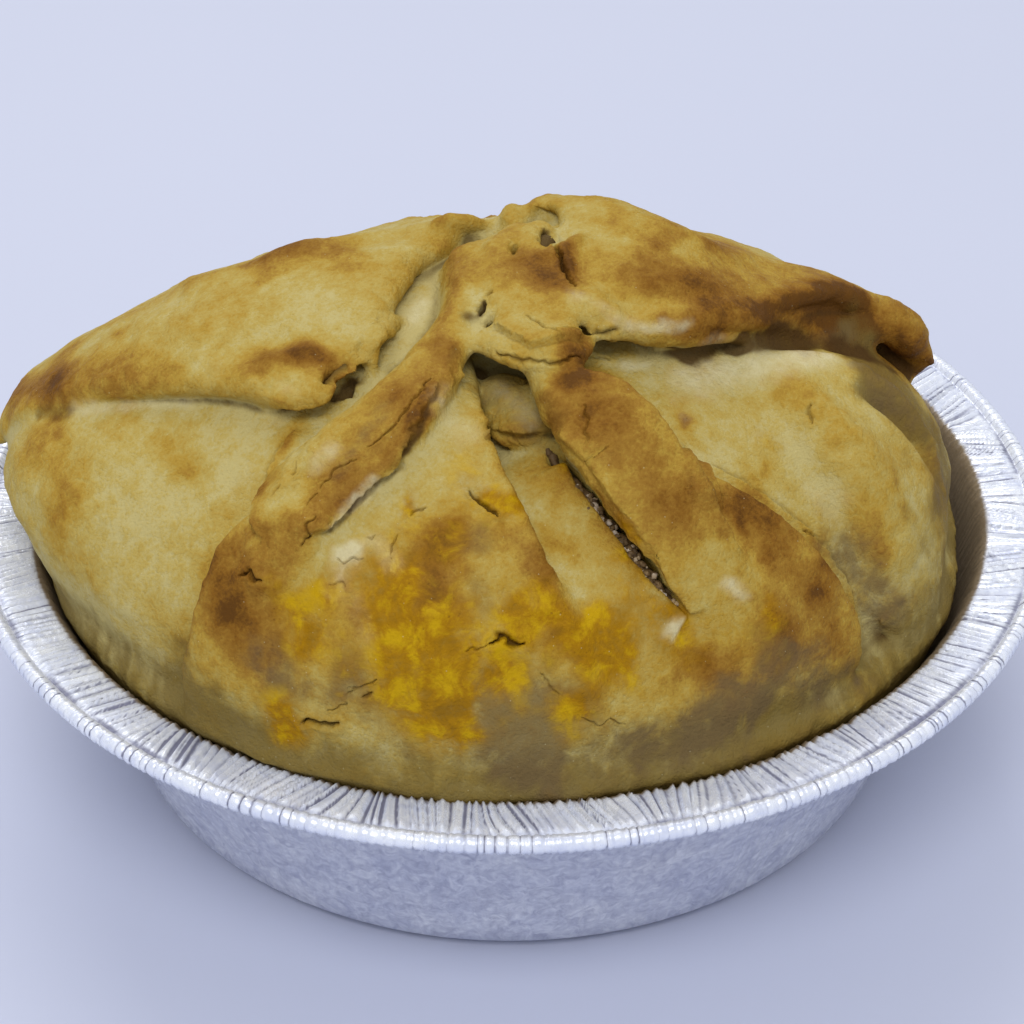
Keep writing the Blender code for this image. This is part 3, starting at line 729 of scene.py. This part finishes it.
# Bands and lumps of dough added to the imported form: places, half widths, half heights, lift
BANDS = [
    ([(280, 49), (285, 44.5), (288, 39), (290, 34), (292.5, 29), (296, 24), (300, 20)],
     (3.0, 4.3, 5.3, 5.0, 4.4, 3.4, 1.4), (1.0, 1.4, 1.5, 1.3, 0.9, 0.5, 0.2), -0.3),
    ([(260.5, 57.5, 40.5), (264, 55.5, 42), (268, 54, 43), (274, 52.8, 44.2), (281, 52.3, 44.6),
      (287, 53.2, 43.2), (292, 54, 41)],
     (1.1, 1.8, 2.2, 2.3, 2.2, 1.9, 1.0), (0.9, 1.3, 1.5, 1.5, 1.5, 1.3, 0.8), -0.4),
    ([(264.5, 53, 36.8), (268.5, 49, 38), (272, 45.2, 39.3), (276.5, 41.5, 40.6)],
     (2.0, 3.3, 3.8, 3.2), (0.9, 1.4, 1.5, 1.2), 0.0),
    ([(298, 59), (306, 54), (320, 50.5), (332, 47), (343, 42), (352, 33.5), (358, 27)],
     (1.2, 2.2, 2.6, 2.8, 2.8, 2.4, 1.8), (1.0, 1.6, 2.0, 2.2, 2.2, 1.8, 1.8), -0.6),
    ([(357, 33), (358.5, 29), (358.5, 25.5), (357.5, 22)], (2.0, 3.2, 3.4, 2.4), (1.4, 2.3, 2.6, 2.0), -1.3),
    ([(291, 65, 40.8), (293.5, 60, 41.6), (297, 56.5, 41.8), (302, 53.5, 41.2)], (1.6, 2.6, 2.5, 1.5),
     (1.0, 1.6, 1.5, 1.0), 0.0),
    ([(262, 64, 40.2), (262.3, 61.5, 40.2), (262, 58, 40.6)], (1.6, 2.3, 1.8), (1.0, 1.3, 1.1), 0.0),
    ([(351, 41, 42.6), (355, 37.5, 43.4), (359, 34, 44.2), (1, 30, 45)],
     (1.2, 2.0, 2.0, 1.2), (1.0, 1.7, 1.7, 1.0), 0.0),
    ([(358, 21, 46), (355, 16, 48), (351, 11, 50), (345, 5, 52)],
     (2.5, 4.5, 5.0, 3.0), (1.4, 2.5, 2.5, 1.6), 0.0),
    ([(341, 12.5, 51.5), (335, 9, 52.6), (330.5, 6.5, 53), (325, 5.5, 53), (318, 6.5, 52.5)],
     (2.0, 4.0, 4.4, 4.0, 2.0), (0.8, 1.5, 1.6, 1.5, 0.8), 0.0),
    ([(316, 74), (302, 72), (296, 69), (294, 65)], (0.8, 1.1, 1.1, 0.7), (0.6, 1.0, 1.0, 0.5), 0.6),
    ([(190, 76), (184, 81), (180, 86)], (0.8, 1.1, 0.9), (0.7, 1.0, 0.8), 0.5),
    ([(288, 83, 33), (300, 87, 34.8), (80, 87.5, 36), (84, 84, 35.8)],
     (1.0, 1.5, 1.5, 1.0), (1.0, 1.5, 1.4, 1.0), 0.0),
    ([(231, 60), (235, 53), (238, 47)], (0.7, 1.2, 0.7), (0.4, 0.7, 0.4), 0.1),
    ([(245.5, 31), (244, 27), (242, 23), (240, 19)], (1.8, 2.6, 3.0, 2.2), (0.6, 1.0, 1.0, 0.5), -0.3),
]

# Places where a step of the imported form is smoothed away, and how far round them
SOFTENED = [
    ([(289.5, 18.5), (292, 15), (296, 9)], 2.6),
    ([(235, 15), (233.5, 8), (233, 3), (234.5, -3)], 4.5),
    ([(357.5, 23), (357, 20)], 2.8),
    ([(346, 40.5), (351, 37.5), (353, 34)], 2.0),
    ([(264.5, 57.7, 42), (270, 55.4, 43.3), (276, 54.4, 44.1), (285, 55.3, 43.8)], 3.4),
    ([(253, 40), (250, 35), (247, 30)], 1.6),
    ([(233.3, 47.2, 43.6), (235, 44.8, 43.9)], 1.3),
    ([(187.5, 13, 59.5), (187, 11, 59)], 2.6),
    ([(1, 20.5, 51), (358, 19.5, 51.5)], 3.2),
    ([(340, 14.2, 53), (344, 8, 53), (346, 2, 52.6), (337.5, 1.6, 53.4)], 4.0),
    ([(318.7, 9.2, 51.2), (319.3, 6, 51.7), (319.7, 3, 52.2)], 2.8),
    ([(322, 2), (328, 4), (334, 6), (341, 9)], 4.5),
    ([(236, 28), (240, 25), (243, 24)], 2.6),
]

# The open slit at the front: places, and its half width at each
SLIT_PLACES = [(278.5, 38.5), (281, 35.5), (283, 32), (285, 29), (287, 25.5), (288.5, 21.5), (291, 18)]
SLIT_HALF_WIDTHS = (0.15, 0.40, 0.34, 0.55, 0.85, 0.36, 0.10)
SLIT_BESIDE = 3.4
PACKED_SLIT_HALF = 1.9

# Where the dough stays clear of the tin and where it spreads over it: turned azimuth, half width
TURNED_BY = 10
GAP_AT_RIGHT = (12, 20)
SPREAD_IN_FRONT = (-88, 40)


def band(line, half_widths, half_heights):
    """A flattened closed roll of dough along a line."""
    rings = []
    for k in range(BAND_STEPS + 1):
        t = k / BAND_STEPS
        middle = along(line, t)
        direction = along(line, min(t + 0.05, 1.0)) - along(line, max(t - 0.05, 0.0))
        outward = middle - HEART
        across = np.cross(direction, outward)
        up = np.cross(across, direction)
        across /= np.linalg.norm(across)
        up /= np.linalg.norm(up)
        taper = math.sqrt(max(0.04, 1 - (2 * t - 1) ** 6))
        width, height = along(half_widths, t) * taper, along(half_heights, t) * taper
        turn = 2 * math.pi * np.arange(BAND_SIDES) / BAND_SIDES
        rings.append(middle + np.outer(width * np.cos(turn), across) + np.outer(height * np.sin(turn), up))
    return loft(rings)


def with_bands(base, surface):
    """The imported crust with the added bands, as closed shells that overlap."""
    work = bmesh.new()
    work.from_mesh(base)
    for places, widths, heights, lift in BANDS:
        extra = mesh_of(*band(surface.line(places, lift), widths, heights))
        work.from_mesh(extra)
        bpy.data.meshes.remove(extra)
    bmesh.ops.recalc_face_normals(work, faces=work.faces)
    work.to_mesh(base)
    work.free()
    return base


def refine_near(mesh, lines):
    """Halves the edges near any of the lines, each time in a narrower strip."""
    work = bmesh.new()
    work.from_mesh(mesh)
    for level in range(REFINED_LEVELS):
        points = np.array([v.co for v in work.verts]) / MM
        close = np.zeros(len(points), bool)
        for line in lines:
            trace = Trace(points, line)
            close[trace.index] |= trace.distance < REFINED_REACH / (level + 1)
        edges = [e for e in work.edges if close[e.verts[0].index] and close[e.verts[1].index]]
        bmesh.ops.subdivide_edges(work, edges=edges, cuts=1, use_grid_fill=True)
    bmesh.ops.triangulate(work, faces=[face for face in work.faces if len(face.verts) > 4])
    work.to_mesh(mesh)
    work.free()


def soften(mesh, points, even, surface):
    """Draws the points near the softened lines towards the evened form."""
    for places, half in SOFTENED:
        trace = Trace(points, surface.line(places), 3 * half)
        share = 0.95 * bump(trace.distance, 0, half)[:, None]
        points[trace.index] += share * (even[trace.index] - points[trace.index])
    write_points(mesh, points)


class Dough:
    """The dough's points with their heights and marks while they are worked out."""

    def __init__(self, mesh, surface):
        self.mesh = mesh
        self.surface = surface
        self.points = read_points(mesh)
        self.broad = read_marks(mesh, "broad")
        self.fine = read_marks(mesh, "fine")
        self.height = np.zeros(len(self.points))
        self.ragged = rough(self.points, 1.3, 41, 3)
        self.warp = rough(self.points, 4.5, 51, 3)
        level = self.points[:, 2] - RIM
        self.marks = {
            "toast": 0.05 + 0.08 * smooth(level / 34) + np.minimum(0.22 * self.broad + 0.22 * self.fine, 0.3),
            "yolk": np.zeros(len(level)),
            "grey": np.zeros(len(level)),
            "pale": np.zeros(len(level)),
            # olive tint in the dough fading out 10 mm above the rim, where it baked against the foil
            "steamed": (0.85 + 0.2 * self.streaks(1.1)) * (1 - smooth((level - 1) / 9)),
            # painted shade in the hollows of the evened form
            "crease": 0.7 * smooth(-self.broad * 1.5 - 0.4) + 0.4 * smooth(-self.fine * 2.0 - 0.4),
        }

    def streaks(self, width):
        """Noise that runs up from the tin in streaks of the given width."""
        angle = np.arctan2(self.points[:, 1], self.points[:, 0])
        x, y = STREAK_RADIUS * np.cos(angle), STREAK_RADIUS * np.sin(angle)
        around = np.stack([x, y, 0.12 * self.points[:, 2]], -1)
        return rough(around, width, 91, 2)

    def trace(self, places):
        return Trace(self.points, self.surface.line(places))

    def stain(self, kind, start, end, half, strength):
        trace = Trace(self.points, self.surface.line([start, end]), 4 * half)
        distance = trace.distance * (1 + 0.42 * self.warp[trace.index]) + 0.25 * self.ragged[trace.index]
        self.marks[kind][trace.index] += strength * bump(distance, 0, half)

    def crack(self, places, half, depth):
        """A ragged crack that wanders and breaks off, with its lips a little raised."""
        trace = self.trace(places)
        ragged = self.ragged[trace.index]
        side = trace.side()
        wander = 0.26 * lumps(trace.points, 0.9, 71) + 0.12 * lumps(trace.points, 0.4, 72)
        distance = np.hypot(side + wander, trace.past_end())
        wide = half * (0.35 + 0.65 * trace.fade(0.3 * trace.length)) * (1 + 0.4 * ragged)
        open_here = smooth((lumps(trace.points, 1.1, 73) + 0.75) / 0.4)
        cut = open_here * bump(distance, 0, wide)
        self.height[trace.index] += 0.15 * depth * bump(distance, 2.4 * half, 1.2 * half) - depth * cut
        # painted shade darkens the open part of the crack
        self.marks["crease"][trace.index] += min(0.85, 0.3 + 0.6 * depth) * cut

    def furrow(self, places, half, depth):
        trace = self.trace(places)
        self.height[trace.index] -= depth * trace.fade(0.35 * trace.length) * bump(trace.distance, 0, half)
        if depth < 0:
            self.marks["toast"][trace.index] += 0.14 * trace.fade(4) * bump(trace.distance, 0, half)

    def layer_edge(self, places, height, reach):
        trace = self.trace(places)
        side = trace.side() + 0.28 * self.ragged[trace.index]
        fade = trace.fade(2.5)
        near = trace.distance < 5
        rise = smooth(side / 0.3 + 0.5) * bump(np.maximum(side, 0), 0, reach)
        foot = bump(side, -0.35, 0.3) * near
        self.height[trace.index] += height * fade * (rise * near - 0.35 * foot)
        # painted shade along the foot of the raised layer
        self.marks["crease"][trace.index] += 0.45 * fade * foot
        self.marks["toast"][trace.index] += 0.16 * fade * bump(side, 0.6, 0.6) * near

    def narrow_slit(self, middle_line):
        """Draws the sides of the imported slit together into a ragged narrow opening."""
        trace = Trace(self.points, middle_line)
        side = trace.side()
        share = trace.travel / trace.length
        wanted = np.interp(share, np.linspace(0, 1, len(SLIT_HALF_WIDTHS)), SLIT_HALF_WIDTHS)
        wanted = wanted * (1 + 0.45 * self.ragged[trace.index])
        away = np.abs(side)
        beyond = np.maximum(away - PACKED_SLIT_HALF, 0)
        here = bump(trace.past_end(), 0, 0.8)
        move = np.maximum(PACKED_SLIT_HALF - wanted, 0) * bump(beyond, 0, 2.0) * here * (trace.distance < 7)
        least = np.minimum(away, wanted * (0.6 + 0.4 * away / PACKED_SLIT_HALF))
        drawn = np.maximum(away - move, least)
        shift = here * np.sign(side) * (drawn - away)
        self.points[trace.index] += shift[:, None] * trace.sideways()
        # painted shade along the slit's sides
        edge = bump(np.abs(side), PACKED_SLIT_HALF, 0.5) * (trace.distance < 2.5)
        self.marks["crease"][trace.index] += 0.25 * edge

    def fray(self, places, amount):
        """Pushes the points about an edge to and fro across it."""
        trace = self.trace(places)
        push = amount * trace.fade(2) * bump(trace.distance, 0, 1.6)
        push = push * (lumps(trace.points, 0.9, 81) + 0.8 * lumps(trace.points, 1.9, 82))
        self.points[trace.index] += push[:, None] * trace.sideways()

    def meet_tin(self):
        """Draws the dough in at the right, where a gap to the tin shows, and over the rim in front."""
        x, y, z = self.points.T
        level = z - RIM
        turned = (np.degrees(np.arctan2(y, x)) + 180 + TURNED_BY) % 360 - 180
        gap = bump(turned, *GAP_AT_RIGHT)
        drawn = gap * (1 - smooth((level - 12) / 12)) * (1.1 + 1.5 * (1 - smooth((level - 1) / 8)))
        spread = (1.2 + 0.15 * self.streaks(5)) * bump(turned, *SPREAD_IN_FRONT) * bump(level, 0.2, 2.2)
        reach = np.hypot(x, y)
        self.points[:, :2] *= (1 + (spread - drawn) / np.maximum(reach, 20))[:, None]

    def unevenness(self):
        """Slow swellings, lumps and ragged folded edges, as hands leave them."""
        points = self.points
        height = 0.30 * lumps(points, 11, 1) + 0.16 * lumps(points, 5, 2) + 0.07 * rough(points, 2.2, 3)
        edge = smooth(self.broad / 0.45)
        self.height += height + edge * (0.16 * self.ragged + 0.10 * lumps(points, 2.6, 9))

    def settle(self):
        """Moves the points by their heights and writes the marks."""
        normals = read_normals(self.mesh)
        height = self.height * smooth((self.points[:, 2] - CUT_LEVEL) / 2.5)
        write_points(self.mesh, self.points + height[:, None] * normals)
        # painted shade along the foot of the dough where it meets the rim
        self.marks["crease"] += 0.5 * (1 - smooth((self.points[:, 2] - RIM + 0.5) / 0.6))
        for name, values in self.marks.items():
            write_marks(self.mesh, name, np.clip(values, 0, 1.2))


def close_below(mesh):
    """Replaces what lies under the cut level by a plain tapering body down to the tin's floor."""
    work = bmesh.new()
    work.from_mesh(mesh)
    edges = cut_off_below(work, CUT_LEVEL)
    for level in (0.5 * RIM, 0.1 * RIM, CRUST_BASE):
        radius = inner_radius(level) - WALL_CLEARANCE - (FLOOR_INSET if level == CRUST_BASE else 0.0)
        made = bmesh.ops.extrude_edge_only(work, edges=edges)["geom"]
        for vert in [v for v in made if isinstance(v, bmesh.types.BMVert)]:
            reach = math.hypot(vert.co.x, vert.co.y)
            vert.co = (vert.co.x * radius * MM / reach, vert.co.y * radius * MM / reach, level * MM)
        edges = [e for e in made if isinstance(e, bmesh.types.BMEdge)]
    bmesh.ops.edgeloop_fill(work, edges=edges)
    bmesh.ops.triangulate(work, faces=[face for face in work.faces if len(face.verts) > 4])
    bmesh.ops.recalc_face_normals(work, faces=work.faces)
    work.to_mesh(mesh)
    work.free()


def slit_middle(surface):
    """The slit's middle line, level with the dough on both of its sides."""
    sides = [surface.line([(azimuth + turn, elevation) for azimuth, elevation in SLIT_PLACES])
             for turn in (-SLIT_BESIDE, SLIT_BESIDE)]
    return (sides[0] + sides[1]) / 2


def build_crust():
    """The dough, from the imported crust's own form down to its creases, cracks and ragged edges."""
    base = crust_of_the_frame()
    surface = Surface(base)
    mesh = remeshed(with_bands(base, surface), VOXEL)
    edges = read_edges(mesh)
    write_points(mesh, relax(read_points(mesh), edges, FIRST_ROUNDS))
    points, normals = read_points(mesh), read_normals(mesh)
    even = relax(points, edges, BROAD_ROUNDS)
    write_marks(mesh, "broad", np.einsum("ij,ij->i", points - even, normals))
    nearly_even = relax(points, edges, FINE_ROUNDS)
    write_marks(mesh, "fine", np.einsum("ij,ij->i", points - nearly_even, normals))
    surface = Surface(mesh)
    soften(mesh, points, even, surface)
    middle_line = slit_middle(surface)
    fine_lines = [surface.line(places) for places, _, _ in CRACKS]
    fine_lines += [surface.line(places) for places, _, _ in LAYER_EDGES]
    refine_near(mesh, [*fine_lines, middle_line])
    dough = Dough(mesh, surface)
    for kind, strokes in STAINS.items():
        for stroke in strokes:
            dough.stain(kind, *stroke)
    for furrow in FURROWS:
        dough.furrow(*furrow)
    for layer in LAYER_EDGES:
        dough.layer_edge(*layer)
    for crack in CRACKS:
        dough.crack(*crack)
    for places, amount in FRAYED:
        dough.fray(places, amount)
    dough.meet_tin()
    dough.unevenness()
    dough.narrow_slit(middle_line)
    dough.settle()
    for name in ("broad", "fine"):
        mesh.attributes.remove(mesh.attributes[name])
    close_below(mesh)
    crust = new_piece("crust_dough", mesh, dough_finish())
    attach(crust, "root")
    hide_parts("crust")


# The foil tin


def inner_radius(level):
    return FOOT_RADIUS + (MOUTH_RADIUS - FOOT_RADIUS) * level / RIM


TIN_COLUMNS = 2360
CRIMP_PITCH = 1.05
FINER_PITCH = 0.6
NICK_PITCH = 0.9
FLUTE_PITCH = 3.2
NICK_SHARE = 0.17
LIP_RADIUS = 56.6
FLANGE_MIDDLE = 58
FLANGE_STEPS = 10
BEAD_ROWS = 8
INNER_ROWS = 8
ROWS_BEFORE_OUTER_WALL = 30


class Folds:
    """Uneven radial folds pressed in foil, round the tin. The higher few_dark is, the fewer gaps are dark."""

    def __init__(self, seed, pitch, radius, few_dark=3):
        draw = np.random.default_rng(seed)
        count = round(2 * math.pi * radius / pitch)
        ends = np.cumsum(draw.uniform(0.5, 1.5, count))
        self.ends = np.concatenate([[0], ends]) / ends[-1]
        self.peak = draw.uniform(0.2, 0.8, count)
        self.depth = draw.uniform(0.45, 1.0, count)
        self.shade = 0.25 + 1.2 * draw.uniform(0, 1, count) ** few_dark

    def find(self, angle):
        """Which fold an angle is in, and how far through it."""
        turn = np.mod(angle / (2 * math.pi), 1.0)
        index = np.clip(np.searchsorted(self.ends, turn, "right") - 1, 0, len(self.peak) - 1)
        return index, (turn - self.ends[index]) / (self.ends[index + 1] - self.ends[index])

    def height(self, angle):
        index, through = self.find(angle)
        peak = self.peak[index]
        rise = np.where(through < peak, through / peak, (1 - through) / (1 - peak))
        return self.depth[index] * (rise - 0.5)

    def gap(self, angle, width):
        """The shade of the gaps between the folds, which fades to 0 over width as a share of a fold."""
        index, through = self.find(angle)
        return self.shade[index] * (1 - smooth(np.minimum(through, 1 - through) / width))


def tin_rows():
    """Radius, level, and how much of the crimps, the bead's nicks and the wall's flutes each row takes."""
    mouth_turn = [(inner_radius(RIM - 1.4), RIM - 1.4, 0.3, 0, 1.0), (55.75, RIM - 0.7, 0.6, 0, 0.6),
                  (56.1, RIM - 0.2, 0.9, 0, 0.2), (LIP_RADIUS, RIM, 1.0, 0, 0)]
    rows = [(FOOT_RADIUS - FOOT_CORNER, SHEET, 0, 0, 0), (inner_radius(FOOT_CORNER), FOOT_CORNER, 0, 0, 0.3)]
    rows += [(inner_radius(level), level, 0, 0, 0.9) for level in (0.4 * RIM, 0.75 * RIM, 0.88 * RIM)]
    rows += mouth_turn
    for k in range(1, FLANGE_STEPS):
        share = k / FLANGE_STEPS
        radius = LIP_RADIUS + (FLANGE_RADIUS - LIP_RADIUS) * share
        rows.append((radius, RIM + 0.35 * share, 1.0 - 0.5 * share**4, 0, 0))
    rows += [(FLANGE_RADIUS + 0.1, RIM + 0.22, 0.25, 0.1, 0), (FLANGE_RADIUS + 0.3, RIM + 0.12, 0.1, 0.2, 0)]
    for k in range(BEAD_ROWS):
        angle = math.radians(165 - 42 * k)
        reach = BEAD_MIDDLE + BEAD_RADIUS * math.cos(angle)
        rows.append((reach, RIM + BEAD_RADIUS * math.sin(angle), 0, 1.0 if k < 6 else 0.3, 0))
    rows += [(FLANGE_RADIUS - 0.2, RIM - 0.45, 0.4, 0, 0), (59.0, RIM - 0.5, 0.9, 0, 0)]
    rows += [(57.0, RIM - 0.7, 0.9, 0, 0.2), (inner_radius(RIM - 1.4) + SHEET, RIM - 1.7, 0.3, 0, 1.0)]
    for share in (0.86, 0.74, 0.58, 0.42, 0.26, 0.14):
        rows.append((inner_radius(share * RIM) + SHEET, share * RIM, 0, 0, 0.4 + 0.6 * share))
    rows += [(inner_radius(FOOT_CORNER) + SHEET, FOOT_CORNER - 0.6, 0, 0, 0.3)]
    rows += [(FOOT_RADIUS + 0.2, 0.75, 0, 0, 0.2), (FOOT_RADIUS - 0.9, 0.15, 0, 0, 0)]
    rows += [(FOOT_RADIUS - FOOT_CORNER, 0.0, 0, 0, 0)]
    return rows


def build_tin():
    """The pressed foil tin: crimped flange, rolled and nicked bead, faintly fluted wall."""
    crimps, finer = Folds(5, CRIMP_PITCH, FLANGE_MIDDLE), Folds(6, FINER_PITCH, FLANGE_MIDDLE)
    nicks, flutes = Folds(7, NICK_PITCH, 62, few_dark=2), Folds(8, FLUTE_PITCH, 52)
    angle = 2 * math.pi * np.arange(TIN_COLUMNS) / TIN_COLUMNS
    circle = np.stack([FLANGE_MIDDLE * np.cos(angle), FLANGE_MIDDLE * np.sin(angle), 0 * angle], -1)
    lean = 0.012 * lumps(circle, 7, 3)
    patchy = 0.5 + 0.5 * lumps(circle, 4, 10)
    rings, stains, gaps = [], [], []
    for radius, level, crimp, nick, flute in tin_rows():
        shifted = angle + lean * (radius - FLANGE_MIDDLE)
        fold = 0.80 * crimps.height(shifted) + 0.34 * finer.height(shifted)
        notch = nicks.gap(angle, NICK_SHARE)
        reach = radius + 0.22 * flute * flutes.height(angle) + 0.18 * flute * crimps.height(angle)
        reach = reach - 0.15 * nick * notch * (1 if radius > BEAD_MIDDLE else 0.3)
        tooth = 0.20 * nicks.height(angle) + 0.14 * crimps.height(shifted) - 0.12 * notch
        height = level + fold * crimp + nick * tooth * np.sign(level - RIM)
        rings.append(np.stack([reach * np.cos(angle), reach * np.sin(angle), height], -1))
        below_mouth = len(rings) <= INNER_ROWS and level < RIM - 0.1
        close = 1.6 if below_mouth else 0.9 * (1 - smooth((radius - 56.0) / 1.9)) * (crimp > 0)
        stains.append(np.full(TIN_COLUMNS, close) + 0.3 * lumps(circle, 5, 9) * close)
        # painted shade in the groove between the flange and the bead
        groove = 0.9 if 0 < nick < 0.3 else 0.0
        # painted shade in the crimps' gaps, and down their valleys
        shade = crimp * (1.1 * crimps.gap(shifted, 0.27) + 0.9 * finer.gap(shifted, 0.24) * patchy)
        valley = 0.22 * crimp * (0.3 - fold) * (0.4 + 1.2 * patchy)
        # painted shade over the outer wall below the bead
        outside = 0.5 if len(rings) > ROWS_BEFORE_OUTER_WALL else 0.0
        shade = np.where(radius > 56.2, shade + valley, 0.0)
        # painted shade in the bead's nicks
        gaps.append(np.maximum(shade, nick * notch * (0.75 + 0.5 * patchy)) + groove * patchy + outside)
    points, faces = loft(rings)
    mesh = mesh_of(points, faces, "foil_tin")
    write_marks(mesh, "stain", np.concatenate([*stains, [0, 0]]))
    write_marks(mesh, "gap", np.concatenate([*gaps, [0, 0]]))
    work = bmesh.new()
    work.from_mesh(mesh)
    bmesh.ops.recalc_face_normals(work, faces=work.faces)
    work.to_mesh(mesh)
    work.free()
    tin = new_piece("crimped_foil_tin", mesh, foil_finish())
    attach(tin, "root")
    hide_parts("foil_tin")


# The filling in the slit


CRUMB_COUNT = 260
CRUMB_SIZES = (0.16, 0.42)
PALE_CRUMBS = 0.42
SHOWN_SHARE = (0.04, 0.86)
FILLING_VOXEL = 0.22
BED_TONE = 0.30


def crumb(draw, middle):
    """A small angular lump: points and faces of a squashed and roughened sphere."""
    work = bmesh.new()
    bmesh.ops.create_icosphere(work, subdivisions=2, radius=1.0)
    points = np.array([v.co for v in work.verts])
    faces = [tuple(v.index for v in face.verts) for face in work.faces]
    work.free()
    points *= (1 + 0.35 * lumps(points + draw.uniform(0, 50, 3), 0.8, 5))[:, None]
    points = points * draw.uniform(0.6, 1.2, 3) * draw.uniform(*CRUMB_SIZES)
    turn = draw.uniform(0, math.pi)
    c, s = math.cos(turn), math.sin(turn)
    return points @ np.array([[c, -s, 0], [s, c, 0], [0, 0, 1]]) + middle, faces


def build_filling():
    """Moist crumbs heaped along the slit."""
    mesh = remeshed(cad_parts["filling"].data.copy(), FILLING_VOXEL)
    points = relax(read_points(mesh), read_edges(mesh), 3)
    write_points(mesh, points)
    points += (0.45 * rough(points, 1.1, 61) + 0.05)[:, None] * read_normals(mesh)
    write_points(mesh, points)
    outward = (points - HEART) / np.linalg.norm(points - HEART, axis=1)[:, None]
    top = np.flatnonzero(np.einsum("ij,ij->i", read_normals(mesh), outward) > 0.6)
    draw = np.random.default_rng(11)
    work = bmesh.new()
    work.from_mesh(mesh)
    tones = [np.full(len(points), BED_TONE)]
    low, high = np.quantile(points[top, 2], SHOWN_SHARE)
    top = top[(points[top, 2] > low) & (points[top, 2] < high)]
    for k in draw.choice(top, CRUMB_COUNT):
        extra = mesh_of(*crumb(draw, points[k] + 0.12 * outward[k]))
        work.from_mesh(extra)
        tone = draw.uniform(0.7, 1.0) if draw.random() < PALE_CRUMBS else draw.uniform(0.15, 0.5)
        tones.append(np.full(len(extra.vertices), tone))
        bpy.data.meshes.remove(extra)
    work.to_mesh(mesh)
    work.free()
    write_marks(mesh, "tone", np.concatenate(tones))
    filling = new_piece("filling_crumbs", mesh, filling_finish())
    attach(filling, "root")
    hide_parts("filling")


# Camera, light and floor. The windows' places and sizes are in metres


CAMERA_BACK = 236.84
CAMERA_HEIGHT = 189.87
CAMERA_PITCH = 34.573
CAMERA_TURN = -0.064
FOCAL_PIXELS = 2384
PICTURE_PIXELS = 1024
SENSOR = 36.0
NEAREST_SEEN = 10.0
WINDOW_AIM = (0, 0, 0.04)
SKY_COLOUR = (0.94, 0.96, 1.0, 1.0)
SKY_STRENGTH = 0.66
FLOOR_HALF = 2000.0
FLOOR_LEVEL = -0.05


def add_camera():
    camera = bpy.data.objects.new("camera", bpy.data.cameras.new("camera"))
    bpy.context.scene.collection.objects.link(camera)
    camera.location = (0, -CAMERA_BACK * MM, CAMERA_HEIGHT * MM)
    camera.rotation_euler = (math.radians(90 - CAMERA_PITCH), 0, math.radians(CAMERA_TURN))
    camera.data.sensor_width = SENSOR
    camera.data.lens = FOCAL_PIXELS / PICTURE_PIXELS * SENSOR
    camera.data.clip_start = NEAREST_SEEN * MM
    bpy.context.scene.camera = camera


def add_window(name, place, size, power, colour=(1.0, 1.0, 1.0)):
    """A soft rectangular light that faces the pie."""
    light = bpy.data.lights.new(name, "AREA")
    light.shape = "RECTANGLE"
    light.size, light.size_y = size
    light.energy = power
    light.color = colour
    obj = bpy.data.objects.new(name, light)
    bpy.context.scene.collection.objects.link(obj)
    obj.location = place
    aim = Vector(WINDOW_AIM) - Vector(place)
    obj.rotation_euler = aim.to_track_quat("-Z", "Y").to_euler()


def add_surroundings():
    world = bpy.data.worlds.new("pale room")
    world.use_nodes = True
    sky = world.node_tree.nodes["Background"].inputs
    sky["Color"].default_value = SKY_COLOUR
    sky["Strength"].default_value = SKY_STRENGTH
    bpy.context.scene.world = world
    add_window("window_behind", (-0.20, 0.85, 1.10), (0.9, 0.7), 5.8, (1.0, 0.99, 0.97))
    add_window("window_above", (-0.06, -0.75, 1.15), (0.7, 0.5), 7.9)
    bpy.context.scene.view_settings.view_transform = "Standard"
    corners = [(x * FLOOR_HALF, y * FLOOR_HALF, FLOOR_LEVEL) for x, y in ((-1, -1), (1, -1), (1, 1), (-1, 1))]
    floor = new_piece("pale_floor", mesh_of(corners, [(0, 1, 2, 3)], "floor"), floor_finish())


def main():
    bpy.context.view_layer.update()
    add_camera()
    add_surroundings()
    build_crust()
    build_tin()
    build_filling()


main()
